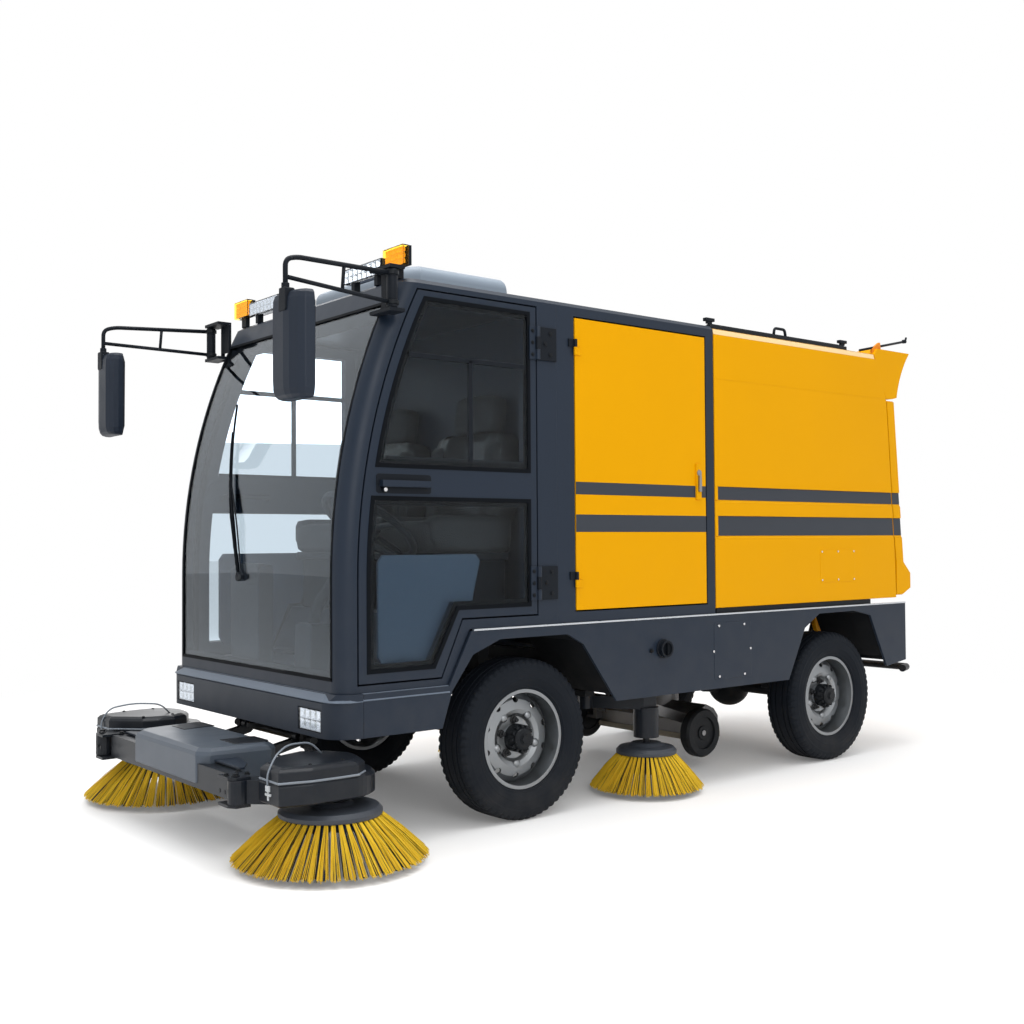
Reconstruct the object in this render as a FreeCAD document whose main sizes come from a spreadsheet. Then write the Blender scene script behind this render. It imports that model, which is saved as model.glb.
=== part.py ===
import FreeCAD, Part
import math
import os
import Sketcher

# A small electric street sweeper truck, in millimetres. +X is forward, +Y is the truck's left,
# +Z is up, the ground is Z = 0, and the origin is midway along its length on the centre plane.

DIMENSIONS = {
    # Wheels and axles
    "front_axle_x": 710,
    "rear_axle_x": -1146,
    "tyre_radius": 298,
    "tyre_width": 168,
    "wheel_y": 550,
    "rim_radius": 176,
    "rim_width": 124,
    "hub_radius": 50,
    "spindle_radius": 22,
    "kingpin_y": 440,
    "drum_radius": 112,
    "axle_beam_radius": 30,
    "spring_y": 270,
    "spring_width": 50,
    "spring_reach": 330,
    # Chassis
    "rail_low_z": 440,
    "rail_high_z": 520,
    "rail_inner_y": 215,
    "rail_outer_y": 285,
    "rail_front_x": 1440,
    "rail_rear_x": -1600,
    "rail_wall": 6,
    "outrigger_depth": 60,
    "end_beam_depth": 40,
    "member_width": 50,
    "tow_member_x": 1380,
    "cab_member_x": 1000,
    "bay_member_x": 420,
    "duct_x": -640,
    "duct_member_gap": 160,
    "lift_member_gap": 100,
    "bay_outrigger_x": 300,
    "rear_bay_outrigger_x": -300,
    "front_stub_x": 1205,
    "post_y": 480,
    "post_half": 30,
    "guard_rear_x": -1875,
    "guard_radius": 18,
    "tow_tongue_width": 60,
    "tow_tongue_thickness": 16,
    "tow_eye_radius": 16,
    "tow_eye_front_x": 1490,
    "tow_eye_front_z": 360,
    "tow_eye_reach": 58,
    # Body shell
    "skirt_half_width": 662,
    "panel_half_width": 650,
    "roof_z": 1940,
    "body_floor_z": 720,
    "ledge_z": 714,
    "skirt_bottom_z": 405,
    "skirt_rear_x": -1700,
    "skirt_front_x": 1432,
    "sill_z": 530,
    "cab_front_x": 1512,
    "cab_bend_z": 900,
    "cab_arc_radius": 2256,
    "cab_rear_x": 570,
    "cab_wall": 35,
    "corner_radius": 60,
    "glass_half_width": 590,
    "glass_low_z": 575,
    "glass_high_z": 1850,
    "glass_thickness": 6,
    "seam_gap": 6,
    "door_rear_x": 666,
    "door_top_z": 1906,
    "door_bottom_z": 554,
    "door_step_z": 754,
    "door_step_x": 1015,
    "door_toe_x": 1106,
    "pillar_width": 63,
    "window_inset": 104,
    "window_rear_x": 704,
    "upper_window_low_z": 1285,
    "upper_window_high_z": 1877,
    "lower_window_high_z": 1181,
    "lower_window_low_z": 595,
    "lower_window_step_z": 793,
    # Bay and hopper
    "bay_rear_x": -312,
    "bay_door_front_x": 482,
    "bay_door_rear_x": -265,
    "bay_door_low_z": 760,
    "bay_door_high_z": 1890,
    "bay_wall": 30,
    "hopper_low_z": 742,
    "hopper_high_z": 1930,
    "hopper_half_width": 644,
    "hopper_wall": 30,
    "hopper_rear_x": -1645,
    "tailgate_thickness": 60,
    "pivot_x": -1500,
    "pivot_z": 600,
    "lid_rear_x": -1290,
    "lid_thickness": 20,
    # Bumper
    "bumper_front_x": 1542,
    "bumper_low_z": 384,
    "bumper_wall": 8,
    # Sweeping gear
    "broom_pin_x": 1847,
    "broom_pin_y": 574,
    "front_brush_x": 1555,
    "front_brush_y": 657,
    "front_brush_radius": 320,
    "front_disc_radius": 168,
    "side_brush_x": -3,
    "side_brush_y": 540,
    "side_brush_radius": 236,
    "side_disc_radius": 124,
    "bristle_tip_z": 20,
    "disc_low_z": 160,
    "tuft_count": 36,
    "nozzle_pivot_x": -150,
    "nozzle_pivot_z": 330,
    "nozzle_wheel_x": -506,
    "nozzle_wheel_y": 380,
    "nozzle_wheel_radius": 108,
    "nozzle_wheel_z": 167,
    # Mirrors
    "mirror_pin_x": 1340,
    "mirror_pin_y": 700,
    "mirror_head_x": 1754,
    "mirror_head_y": 772,
    # Running clearances
    "running_gap": 0.3,
    "moving_gap": 6,
}

DOC = FreeCAD.newDocument("StreetSweeperTruck")
SHEET = DOC.addObject("Spreadsheet::Sheet", "Sizes")
for row, (word, number) in enumerate(DIMENSIONS.items(), start=1):
    SHEET.set("A%d" % row, str(number))
    SHEET.setAlias("A%d" % row, word)
DOC.recompute()


class Size:
    """A length or angle that knows its value and the formula that gives it in the sheet."""

    def __init__(self, value, formula):
        self.value = float(value)
        self.formula = formula

    def __add__(self, other):
        other = as_size(other)
        return Size(self.value + other.value, "(%s + %s)" % (self.formula, other.formula))

    def __radd__(self, other):
        return as_size(other) + self

    def __sub__(self, other):
        other = as_size(other)
        return Size(self.value - other.value, "(%s - %s)" % (self.formula, other.formula))

    def __rsub__(self, other):
        return as_size(other) - self

    def __mul__(self, other):
        other = as_size(other)
        return Size(self.value * other.value, "(%s * %s)" % (self.formula, other.formula))

    def __rmul__(self, other):
        return as_size(other) * self

    def __truediv__(self, other):
        other = as_size(other)
        return Size(self.value / other.value, "(%s / %s)" % (self.formula, other.formula))

    def __neg__(self):
        return Size(-self.value, "(0 - %s)" % self.formula)


def as_size(number):
    """Wrap a plain number, so that it can stand in a formula."""
    if isinstance(number, Size):
        return number
    text = "%.6f" % number
    return Size(number, text if number >= 0 else "(%s)" % text)


def sine(degrees):
    degrees = as_size(degrees)
    return Size(math.sin(math.radians(degrees.value)), "sin(%s)" % degrees.formula)


def cosine(degrees):
    degrees = as_size(degrees)
    return Size(math.cos(math.radians(degrees.value)), "cos(%s)" % degrees.formula)


def root(square):
    return Size(math.sqrt(square.value), "sqrt(%s)" % square.formula)


class Driving:
    """The sheet's sizes by name."""

    def __getattr__(self, word):
        return Size(DIMENSIONS[word], "Sizes." + word)


S = Driving()


def bind(item, prop, size):
    """Tie one property to the sheet."""
    item.setExpression(prop, as_size(size).formula)


def place(item, base, axis=(0, 0, 1), angle=0):
    """Put an item at a point, turned about an axis."""
    point = "vector(%s; %s; %s)" % tuple(as_size(number).formula for number in base)
    along = "vector(%s; %s; %s)" % tuple(as_size(number).formula for number in axis)
    turn = "rotation(%s; %s)" % (along, as_size(angle).formula)
    item.setExpression("Placement", "placement(%s; %s)" % (point, turn))
    return item


def direct(item, start, end):
    """Turn an item that runs along Z so that it runs from start to end, and return the distance."""
    dx, dy, dz = [as_size(b) - as_size(a) for a, b in zip(start, end)]
    length = root(dx * dx + dy * dy + dz * dz)
    if abs(dx.value) < 1e-6 and abs(dy.value) < 1e-6:
        axis = (1, 0, 0)
        angle = as_size(0 if dz.value > 0 else 180)
    else:
        axis = (-dy, dx, as_size(0))
        ratio = dz / length
        angle = Size(math.degrees(math.acos(ratio.value)), "acos(%s)" % ratio.formula)
    place(item, start, axis, angle)
    return length


def box(name, x, y, z):
    """A block between two planes on each axis."""
    item = DOC.addObject("Part::Box", name)
    bind(item, "Length", as_size(x[1]) - x[0])
    bind(item, "Width", as_size(y[1]) - y[0])
    bind(item, "Height", as_size(z[1]) - z[0])
    return place(item, (x[0], y[0], z[0]))


def rod(name, start, end, radius):
    """A round bar between two points."""
    item = DOC.addObject("Part::Cylinder", name)
    bind(item, "Radius", radius)
    bind(item, "Height", direct(item, start, end))
    return item


def taper(name, start, end, first_radius, last_radius):
    """A round bar that narrows or widens between two points."""
    item = DOC.addObject("Part::Cone", name)
    bind(item, "Radius1", first_radius)
    bind(item, "Radius2", last_radius)
    bind(item, "Height", direct(item, start, end))
    return item


def ball(name, centre, radius):
    item = DOC.addObject("Part::Sphere", name)
    bind(item, "Radius", radius)
    return place(item, centre)


def fuse(name, parts):
    """Join pieces, or hold separate pieces together under one name."""
    if len(parts) == 1:
        return parts[0]
    item = DOC.addObject("Part::MultiFuse", name)
    item.Shapes = parts
    return item


def cut(name, base, tools):
    item = DOC.addObject("Part::Cut", name)
    item.Base = base
    item.Tool = fuse(name + "_tools", tools)
    return item


def common(name, first, second):
    item = DOC.addObject("Part::Common", name)
    item.Base = first
    item.Tool = second
    return item


def mirror(name, source):
    """The same piece on the other side of the centre plane."""
    item = DOC.addObject("Part::Mirroring", name)
    item.Source = source
    item.Normal = FreeCAD.Vector(0, 1, 0)
    return item


def bent_bar(name, points, radius):
    """Round bar that follows points, with ball-shaped bends."""
    pieces = []
    for number, (start, end) in enumerate(zip(points, points[1:])):
        pieces.append(rod("%s_run_%d" % (name, number), start, end, radius))
    for number, point in enumerate(points[1:-1]):
        pieces.append(ball("%s_bend_%d" % (name, number), point, radius))
    return fuse(name, pieces)


class Arc:
    """In an outline: the edge to the next corner is an arc through this point."""

    def __init__(self, a, b):
        self.through = (as_size(a), as_size(b))


def flat(point):
    return FreeCAD.Vector(point[0].value, point[1].value, 0)


def sketch_outline(sketch, outline):
    """Draw a closed outline and tie each corner to the sheet."""
    corners = []
    arcs = {}
    for item in outline:
        if isinstance(item, Arc):
            arcs[len(corners) - 1] = item.through
        else:
            corners.append((as_size(item[0]), as_size(item[1])))
    ends = []
    count = len(corners)
    for number in range(count):
        start = flat(corners[number])
        end = flat(corners[(number + 1) % count])
        if number in arcs:
            middle = flat(arcs[number])
            turn = (middle - start).cross(end - middle).z
            circle = Part.Arc(start, middle, end).toShape().Curve
            centre = circle.Center
            first, last = (start, end) if turn > 0 else (end, start)
            low = math.atan2(first.y - centre.y, first.x - centre.x)
            high = math.atan2(last.y - centre.y, last.x - centre.x)
            if high < low:
                high += 2 * math.pi
            ring = Part.Circle(centre, FreeCAD.Vector(0, 0, 1), circle.Radius)
            index = sketch.addGeometry(Part.ArcOfCircle(ring, low, high), False)
            ends.append((index, 1, 2) if turn > 0 else (index, 2, 1))
        else:
            index = sketch.addGeometry(Part.LineSegment(start, end), False)
            ends.append((index, 1, 2))
    for number in range(count):
        here = ends[number]
        after = ends[(number + 1) % count]
        sketch.addConstraint(Sketcher.Constraint("Coincident", here[0], here[2], after[0], after[1]))
    for number, corner in enumerate(corners):
        tie_point(sketch, ends[number][0], ends[number][1], corner)
    for number, middle in arcs.items():
        index = sketch.addGeometry(Part.Point(flat(middle)), True)
        sketch.addConstraint(Sketcher.Constraint("PointOnObject", index, 1, ends[number][0]))
        tie_point(sketch, index, 1, middle)


def tie_point(sketch, index, end, point):
    for kind, size in (("DistanceX", point[0]), ("DistanceY", point[1])):
        number = sketch.addConstraint(Sketcher.Constraint(kind, -1, 1, index, end, size.value))
        if "Sizes" in size.formula:
            sketch.setExpression("Constraints[%d]" % number, size.formula)


PLANES = {"x": "YZ_Plane", "y": "XZ_Plane", "z": "XY_Plane"}


def new_sketch(name, axis, offset=0):
    """A body with an empty sketch square to an axis."""
    body = DOC.addObject("PartDesign::Body", name)
    sketch = body.newObject("Sketcher::SketchObject", name + "_outline")
    plane = [item for item in body.Origin.OriginFeatures if item.Role == PLANES[axis]][0]
    sketch.AttachmentSupport = [(plane, "")]
    sketch.MapMode = "FlatFace"
    bind(sketch, "AttachmentOffset.Base.z", offset)
    return body, sketch


def plate(name, outline, axis, low, high, rounds=()):
    """An outline square to an axis, made solid between two planes.

    The outline is (y, z) square to x, (x, z) square to y and (x, y) square to z.
    Each of the rounds is a radius and a test of an edge's two ends.
    """
    low, high = as_size(low), as_size(high)
    start = -high if axis == "y" else low
    body, sketch = new_sketch(name, axis, start)
    sketch_outline(sketch, outline)
    pad = body.newObject("PartDesign::Pad", name + "_pad")
    pad.Profile = sketch
    bind(pad, "Length", high - low)
    base = pad
    for number, (kind, radius, wanted) in enumerate(rounds):
        DOC.recompute()
        names = []
        for index, edge in enumerate(base.Shape.Edges, start=1):
            ends = [vertex.Point for vertex in edge.Vertexes]
            if len(ends) == 2 and wanted(ends[0], ends[1]):
                names.append("Edge%d" % index)
        feature = body.newObject("PartDesign::" + kind, "%s_%s_%d" % (name, kind.lower(), number))
        feature.Base = (base, names)
        bind(feature, "Radius" if kind == "Fillet" else "Size", radius)
        base = feature
    body.Tip = base
    return body


def turned(name, outline, centre, axis="z"):
    """An outline of (radius, height) points turned about an axis through a centre."""
    body, sketch = new_sketch(name, "y")
    sketch_outline(sketch, outline)
    turn = body.newObject("PartDesign::Revolution", name + "_turn")
    turn.Profile = sketch
    turn.ReferenceAxis = (sketch, ["V_Axis"])
    turn.Angle = 360
    if axis == "y":
        place(body, centre, (1, 0, 0), -90)
    elif axis == "x":
        place(body, centre, (0, 1, 0), 90)
    else:
        place(body, centre)
    return body


def near(first, second, tolerance=0.5):
    return abs(first - as_size(second).value) < tolerance


def upright(a, b):
    """An edge that runs straight up."""
    return near(a.x, b.x) and near(a.y, b.y)


NODES = {}


def node(name, item):
    """Name a finished piece, which is written to its own file."""
    item.Label = name
    NODES[name] = item
    return item


def pair(name, item):
    """Finish a left piece and its mirror image on the right."""
    node(name + "_left", item)
    node(name + "_right", mirror(name + "_right_shape", item))


def both_sides(name, item):
    """A piece and its mirror image, kept as one node's separate solids."""
    return fuse(name, [item, mirror(name + "_other", item)])


# The curved side profile of the cab, shared by its shell, doors and windows

ARC_CENTRE_X = S.cab_front_x - S.cab_arc_radius


def arc_x(inset, z):
    """Where the cab's curved front lies at a height, inset by a wall or pillar."""
    radius = S.cab_arc_radius - inset
    rise = as_size(z) - S.cab_bend_z
    return ARC_CENTRE_X + root(radius * radius - rise * rise)


def front_edge(inset, low, high, bottom_x=None):
    """The curved front edge from low to high: a straight part, then the arc."""
    middle_z = (S.cab_bend_z + high) / 2
    points = []
    if as_size(low).value < S.cab_bend_z.value:
        points.append((S.cab_front_x - inset, as_size(low)))
        points.append((S.cab_front_x - inset, S.cab_bend_z))
    else:
        points.append((arc_x(inset, low), as_size(low)))
        middle_z = (as_size(low) + high) / 2
    points.append(Arc(arc_x(inset, middle_z), middle_z))
    points.append((arc_x(inset, high), as_size(high)))
    return points


def cab_outline(inset):
    """The cab in side view, inset by a wall."""
    slope = inset * 0.6
    return front_edge(inset, S.sill_z + inset, S.roof_z - inset) + [
        (S.cab_rear_x + inset, S.roof_z - inset),
        (S.cab_rear_x + inset, S.body_floor_z + inset),
        (S.door_step_x - 30 + slope, S.body_floor_z + inset),
        (S.door_toe_x - 22 + slope, S.sill_z + inset),
    ]


def door_outline(gap):
    """The cab door's seam, or the door itself, smaller by a gap all round."""
    slope = gap * 0.6
    edge = S.pillar_width + gap
    return front_edge(edge, S.door_bottom_z + gap, S.door_top_z - gap) + [
        (S.door_rear_x + gap, S.door_top_z - gap),
        (S.door_rear_x + gap, S.door_step_z + gap),
        (S.door_step_x + slope, S.door_step_z + gap),
        (S.door_toe_x + slope, S.door_bottom_z + gap),
    ]


def upper_window(inset):
    edge = S.window_inset + inset
    return front_edge(edge, S.upper_window_low_z + inset, S.upper_window_high_z - inset) + [
        (S.window_rear_x + inset, S.upper_window_high_z - inset),
        (S.window_rear_x + inset, S.upper_window_low_z + inset),
    ]


def lower_window(inset):
    edge = S.window_inset + inset
    slope = inset * 0.6
    return front_edge(edge, S.lower_window_low_z + inset, S.lower_window_high_z - inset) + [
        (S.window_rear_x + inset, S.lower_window_high_z - inset),
        (S.window_rear_x + inset, S.lower_window_step_z + inset),
        (S.door_step_x + 20 + slope, S.lower_window_step_z + inset),
        (S.door_toe_x + 32 + slope, S.lower_window_low_z + inset),
    ]


def build_rails():
    """The ladder frame's two channel rails, open towards the centre."""
    rail = plate("rail", [
        (S.rail_inner_y, S.rail_low_z),
        (S.rail_outer_y, S.rail_low_z),
        (S.rail_outer_y, S.rail_high_z),
        (S.rail_inner_y, S.rail_high_z),
        (S.rail_inner_y, S.rail_high_z - S.rail_wall),
        (S.rail_outer_y - S.rail_wall, S.rail_high_z - S.rail_wall),
        (S.rail_outer_y - S.rail_wall, S.rail_low_z + S.rail_wall),
        (S.rail_inner_y, S.rail_low_z + S.rail_wall),
    ], "x", S.rail_rear_x + S.end_beam_depth, S.rail_front_x)
    node("chassis_rails", both_sides("rails", rail))


def build_cross_members():
    """Members boxed in between the rails, outriggers on top of them with their posts, and the end beam."""
    half = S.member_width / 2
    reach = S.rail_outer_y - S.rail_wall
    pieces = []
    for number, x in enumerate((S.tow_member_x, S.cab_member_x, S.bay_member_x, S.nozzle_pivot_x,
                                S.duct_x + S.duct_member_gap, S.duct_x - S.duct_member_gap,
                                S.pivot_x + S.lift_member_gap)):
        pieces.append(box("cross_%d" % number, (x - half, x + half), (-reach, reach),
                          (S.rail_low_z + S.rail_wall, S.rail_high_z - S.rail_wall)))
    top = S.rail_high_z + S.outrigger_depth
    wide = S.panel_half_width
    for number, x in enumerate((S.bay_outrigger_x, S.rear_bay_outrigger_x, S.duct_x - S.duct_member_gap)):
        arms = [box("outrigger_%d" % number, (x - half, x + half), (-wide, wide), (S.rail_high_z, top))]
        post_top = S.body_floor_z if x.value > S.bay_rear_x.value else S.hopper_low_z - S.running_gap
        for side in (-1, 1):
            arms.append(box("post_%d_%d" % (number, side + 1), (x - half, x + half),
                            sorted_pair(side, S.post_y - S.post_half, S.post_y + S.post_half), (top, post_top)))
        pieces.append(fuse("outrigger_%d_posts" % number, arms))
    for side in (-1, 1):
        pieces.append(box("front_stub_%d" % (side + 1), (S.front_stub_x - half, S.front_stub_x + half),
                          sorted_pair(side, S.rail_outer_y, wide), (S.rail_high_z - S.outrigger_depth, S.rail_high_z)))
    pieces.append(box("end_beam", (S.rail_rear_x, S.rail_rear_x + S.end_beam_depth), (-wide, wide),
                      (S.rail_low_z, S.rail_high_z)))
    node("cross_members", fuse("members", pieces))


def build_frame_brackets():
    """What the rails carry: cab posts, the pins that the hopper tips on, and the hangers of the sweeping gear."""
    middle = (S.rail_inner_y + S.rail_outer_y) / 2
    pieces = []
    for side in (-1, 1):
        for number, x in enumerate((640, 960)):
            pieces.append(box("cab_post_%d_%d" % (number, side + 1), (x - 25, x + 25),
                              sorted_pair(side, middle - 30, middle + 30), (S.rail_high_z, S.body_floor_z)))
        pieces.append(box("cab_pad_%d" % (side + 1), (1300, 1360), sorted_pair(side, middle - 30, middle + 30),
                          (S.rail_high_z, S.sill_z)))
        ear = plate("hopper_ear_%d" % (side + 1), [
            (S.pivot_x - 60, S.rail_high_z),
            (S.pivot_x + 60, S.rail_high_z),
            (S.pivot_x + 28, S.pivot_z),
            Arc(S.pivot_x, S.pivot_z + 28),
            (S.pivot_x - 28, S.pivot_z),
        ], "y", side * S.spring_y - 10, side * S.spring_y + 10)
        pin = rod("hopper_pin_%d" % (side + 1), (S.pivot_x, side * (S.spring_y - 10), S.pivot_z),
                  (S.pivot_x, side * (S.spring_y + 42), S.pivot_z), 14)
        pieces.append(fuse("hopper_support_%d" % (side + 1), [ear, pin]))
    pieces.append(hung_tube("lift", S.pivot_x + 250, 430, 205, 200, 14, (410, S.rail_high_z)))
    pieces.append(hung_tube("nozzle", S.nozzle_pivot_x, S.nozzle_pivot_z, 250, 300, 14,
                            (S.nozzle_pivot_z - 25, S.rail_low_z)))
    pieces.append(hung_tube("broom", 1413, 330, 250, 300, 14, (300, S.rail_low_z)))
    for side in (-1, 1):
        bracket = box("side_bracket_%d" % (side + 1), (165, 215), sorted_pair(side, S.rail_inner_y, 410),
                      (390, 414))
        drop = box("side_drop_%d" % (side + 1), (165, 215), sorted_pair(side, S.rail_inner_y, 260),
                   (390, S.rail_low_z))
        hole = rod("side_hole_%d" % (side + 1), (190, side * 380, 380), (190, side * 380, 420),
                   12 + S.running_gap)
        pieces.append(cut("side_bracket_holed_%d" % (side + 1),
                          fuse("side_bracket_whole_%d" % (side + 1), [bracket, drop]), [hole]))
    back = S.guard_rear_x + S.guard_radius
    guard = [bent_bar("rear_guard", [(back + 78, -590, 380), (back, -560, 380), (back, 560, 380),
                                     (back + 78, 590, 380)], S.guard_radius)]
    for side in (-1, 1):
        guard.append(box("guard_stay_%d" % (side + 1), (back, S.rail_rear_x + 30),
                         (side * 250 - 20, side * 250 + 20), (368, 392)))
        guard.append(box("guard_drop_%d" % (side + 1), (S.rail_rear_x, S.rail_rear_x + 30),
                         (side * 250 - 20, side * 250 + 20), (368, S.rail_low_z)))
    pieces.append(fuse("rear_guard_whole", guard))
    tongue = S.tow_tongue_width / 2
    front_x = S.tow_eye_front_x
    front_level = S.tow_eye_front_z
    thick = S.tow_tongue_thickness / 2
    under = S.rail_low_z + S.rail_wall
    pieces.append(cut("front_tow", fuse("front_tow_whole", [
        plate("front_tongue", [
            (S.tow_member_x - 20, -tongue), (front_x, -tongue), Arc(front_x + tongue, 0), (front_x, tongue),
            (S.tow_member_x - 20, tongue),
        ], "z", front_level - thick, front_level + thick),
        plate("front_tow_web", [
            (S.tow_member_x - 20, front_level), (front_x - tongue, front_level), (S.tow_member_x + 25, under),
            (S.tow_member_x - 20, under),
        ], "y", -6, 6),
    ]), [rod("front_tow_hole", (front_x, 0, front_level - 20), (front_x, 0, front_level + 20), S.tow_eye_radius)]))
    rear_x = S.rail_rear_x - S.tow_eye_reach
    rear_level = (S.rail_low_z + S.rail_high_z) / 2
    pieces.append(cut("rear_tow", plate("rear_tongue", [
        (S.rail_rear_x, -tongue), (S.rail_rear_x, tongue), (rear_x, tongue), Arc(rear_x - tongue, 0),
        (rear_x, -tongue),
    ], "z", rear_level - thick, rear_level + thick),
        [rod("rear_tow_hole", (rear_x, 0, rear_level - 20), (rear_x, 0, rear_level + 20), S.tow_eye_radius)]))
    node("frame_brackets", fuse("brackets", pieces))


def hung_tube(name, x, z, hanger_y, reach, radius, height):
    """A cross tube that two hangers carry under or beside the rails."""
    pieces = [rod(name + "_tube", (x, -reach, z), (x, reach, z), radius)]
    for side in (-1, 1):
        pieces.append(box("%s_hanger_%d" % (name, side + 1), (x - 22, x + 22),
                          (side * hanger_y - 10, side * hanger_y + 10), height))
    return fuse(name + "_support", pieces)


def sorted_pair(side, near_y, far_y):
    """Two Y planes on one side of the truck, in rising order."""
    if side > 0:
        return (as_size(near_y), as_size(far_y))
    return (-as_size(far_y), -as_size(near_y))


def leaf_spring(name, axle_x, side):
    """A pack of leaves, bowed down onto the axle, with an eye at each end."""
    beam_top = S.tyre_radius + S.axle_beam_radius
    eye_z = S.rail_low_z - 20
    outline = [
        (axle_x - S.spring_reach, eye_z - 6),
        Arc(axle_x, beam_top),
        (axle_x + S.spring_reach, eye_z - 6),
        (axle_x + S.spring_reach, eye_z + 6),
        Arc(axle_x, beam_top + 28),
        (axle_x - S.spring_reach, eye_z + 6),
    ]
    low = side * S.spring_y - S.spring_width / 2
    high = side * S.spring_y + S.spring_width / 2
    pieces = [plate(name + "_leaves", outline, "y", low, high)]
    pieces.append(box(name + "_seat", (axle_x - 45, axle_x + 45), (low, high), (S.tyre_radius + 10, beam_top + 36)))
    for end in (-1, 1):
        x = axle_x + end * S.spring_reach
        pieces.append(rod("%s_eye_%d" % (name, end + 1), (x, low, eye_z), (x, high, eye_z), 20))
    return fuse(name, pieces)


def build_axles():
    """Front beam with kingpin eyes, rear beam with its gear casing, both on leaf springs."""
    level = S.tyre_radius
    front = []
    x = S.front_axle_x
    front.append(rod("front_beam", (x, -(S.kingpin_y - 80), level), (x, S.kingpin_y - 80, level),
                     S.axle_beam_radius))
    holes = []
    for side in (-1, 1):
        front.append(taper("beam_end_%d" % (side + 1), (x, side * (S.kingpin_y - 80), level),
                           (x, side * (S.kingpin_y - 28), level), S.axle_beam_radius, 25))
        front.append(rod("front_eye_%d" % (side + 1), (x, side * S.kingpin_y, level - 28),
                         (x, side * S.kingpin_y, level + 28), 36))
        holes.append(rod("front_eye_hole_%d" % (side + 1), (x, side * S.kingpin_y, level - 40),
                         (x, side * S.kingpin_y, level + 40), S.spindle_radius + S.running_gap))
    beam = cut("front_beam_holed", fuse("front_beam_whole", front), holes)
    springs = [leaf_spring("front_spring_%d" % (side + 1), S.front_axle_x, side) for side in (-1, 1)]
    node("front_axle", fuse("front_axle_shape", [beam] + springs))
    rear = []
    x = S.rear_axle_x
    inner = S.wheel_y - S.rim_width / 2 + 8
    rear.append(rod("rear_beam", (x, -inner, level), (x, inner, level), S.axle_beam_radius))
    rear.append(ball("gear_case", (x, 0, level), 105))
    rear.append(rod("gear_nose", (x, 0, level), (x + 190, 0, level + 20), 42))
    for side in (-1, 1):
        rear.append(rod("rear_spindle_%d" % (side + 1), (x, side * inner, level),
                        (x, side * (S.wheel_y + 46), level), S.spindle_radius))
        rear.append(leaf_spring("rear_spring_%d" % (side + 1), S.rear_axle_x, side))
    node("rear_axle", fuse("rear_axle_shape", rear))


def build_knuckles():
    """Kingpin, fork, back plate and spindle, which turn with the front wheel."""
    x = S.front_axle_x
    level = S.tyre_radius
    y = S.kingpin_y
    plate_y = y + 42
    pieces = [
        rod("kingpin", (x, y, level - 52), (x, y, level + 52), S.spindle_radius),
        box("fork_top", (x - 34, x + 34), (y - 24, plate_y + 6), (level + 28.5, level + 50)),
        box("fork_low", (x - 34, x + 34), (y - 24, plate_y + 6), (level - 50, level - 28.5)),
        rod("back_plate", (x, plate_y, level), (x, plate_y + 12, level), 118),
        rod("spindle", (x, plate_y, level), (x, S.wheel_y + 46, level), S.spindle_radius),
    ]
    pair("knuckle", fuse("knuckle_shape", pieces))


def build_wheel(name, axle_x):
    """A pressed steel wheel with ten vents and a drum behind it, and its tyre."""
    level = S.tyre_radius
    centre = (axle_x, S.wheel_y, level)
    half = S.rim_width / 2
    rim_r = S.rim_radius
    dish = turned(name + "_dish", [
        (S.spindle_radius + S.running_gap, 2),
        (S.hub_radius + 28, 2),
        (S.hub_radius + 40, 14),
        (S.hub_radius + 56, 22),
        (rim_r - 34, 14),
        (rim_r - 16, -2),
        (rim_r - 5, -16),
        (rim_r - 5, -24),
        (rim_r - 20, -12),
        (rim_r - 38, 6),
        (S.hub_radius + 56, 15),
        (S.hub_radius + 42, 6),
        (S.hub_radius + 30, -6),
        (S.spindle_radius + S.running_gap, -6),
    ], centre, "y")
    barrel = turned(name + "_barrel", [
        (rim_r - 5, -half),
        (rim_r + 8, -half),
        (rim_r + 8, -half + 5),
        (rim_r, -half + 5),
        (rim_r, half - 5),
        (rim_r + 8, half - 5),
        (rim_r + 8, half),
        (rim_r - 5, half),
    ], centre, "y")
    vents = []
    for number in range(10):
        angle = 36 * number + 18
        spot = (axle_x + (rim_r - 34) * cosine(angle), S.wheel_y, level + (rim_r - 34) * sine(angle))
        over = (spot[0], S.wheel_y + 60, spot[2])
        vents.append(rod("%s_vent_%d" % (name, number), (spot[0], S.wheel_y - 30, spot[2]), over, 12))
    hub = turned(name + "_hub", [
        (S.spindle_radius + S.running_gap, -50),
        (S.drum_radius, -50),
        (S.drum_radius, -6),
        (S.hub_radius, -6),
        (S.hub_radius, 30),
        (S.hub_radius - 12, 52),
        (S.hub_radius - 12, 64),
        (0, 64),
        (0, 48),
        (S.spindle_radius + S.running_gap, 48),
    ], centre, "y")
    pressed = cut(name + "_pressed", dish, vents)
    pair(name + "_rim", fuse(name + "_rim_shape", [barrel, pressed, hub]))
    tread = S.tyre_width / 2
    tyre = turned(name + "_tyre", [
        (rim_r + S.running_gap, -half + 5.3),
        (rim_r + 8.3, -half + 5.3),
        (rim_r + 14, -half - 3),
        Arc(rim_r + 70, -tread),
        (S.tyre_radius - 16, -tread + 14),
        (S.tyre_radius - 2, -tread + 30),
        (S.tyre_radius, 0),
        (S.tyre_radius - 2, tread - 30),
        (S.tyre_radius - 16, tread - 14),
        Arc(rim_r + 70, tread),
        (rim_r + 14, half + 3),
        (rim_r + 8.3, half - 5.3),
        (rim_r + S.running_gap, half - 5.3),
    ], centre, "y")
    pair(name + "_tyre", tyre)


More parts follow.
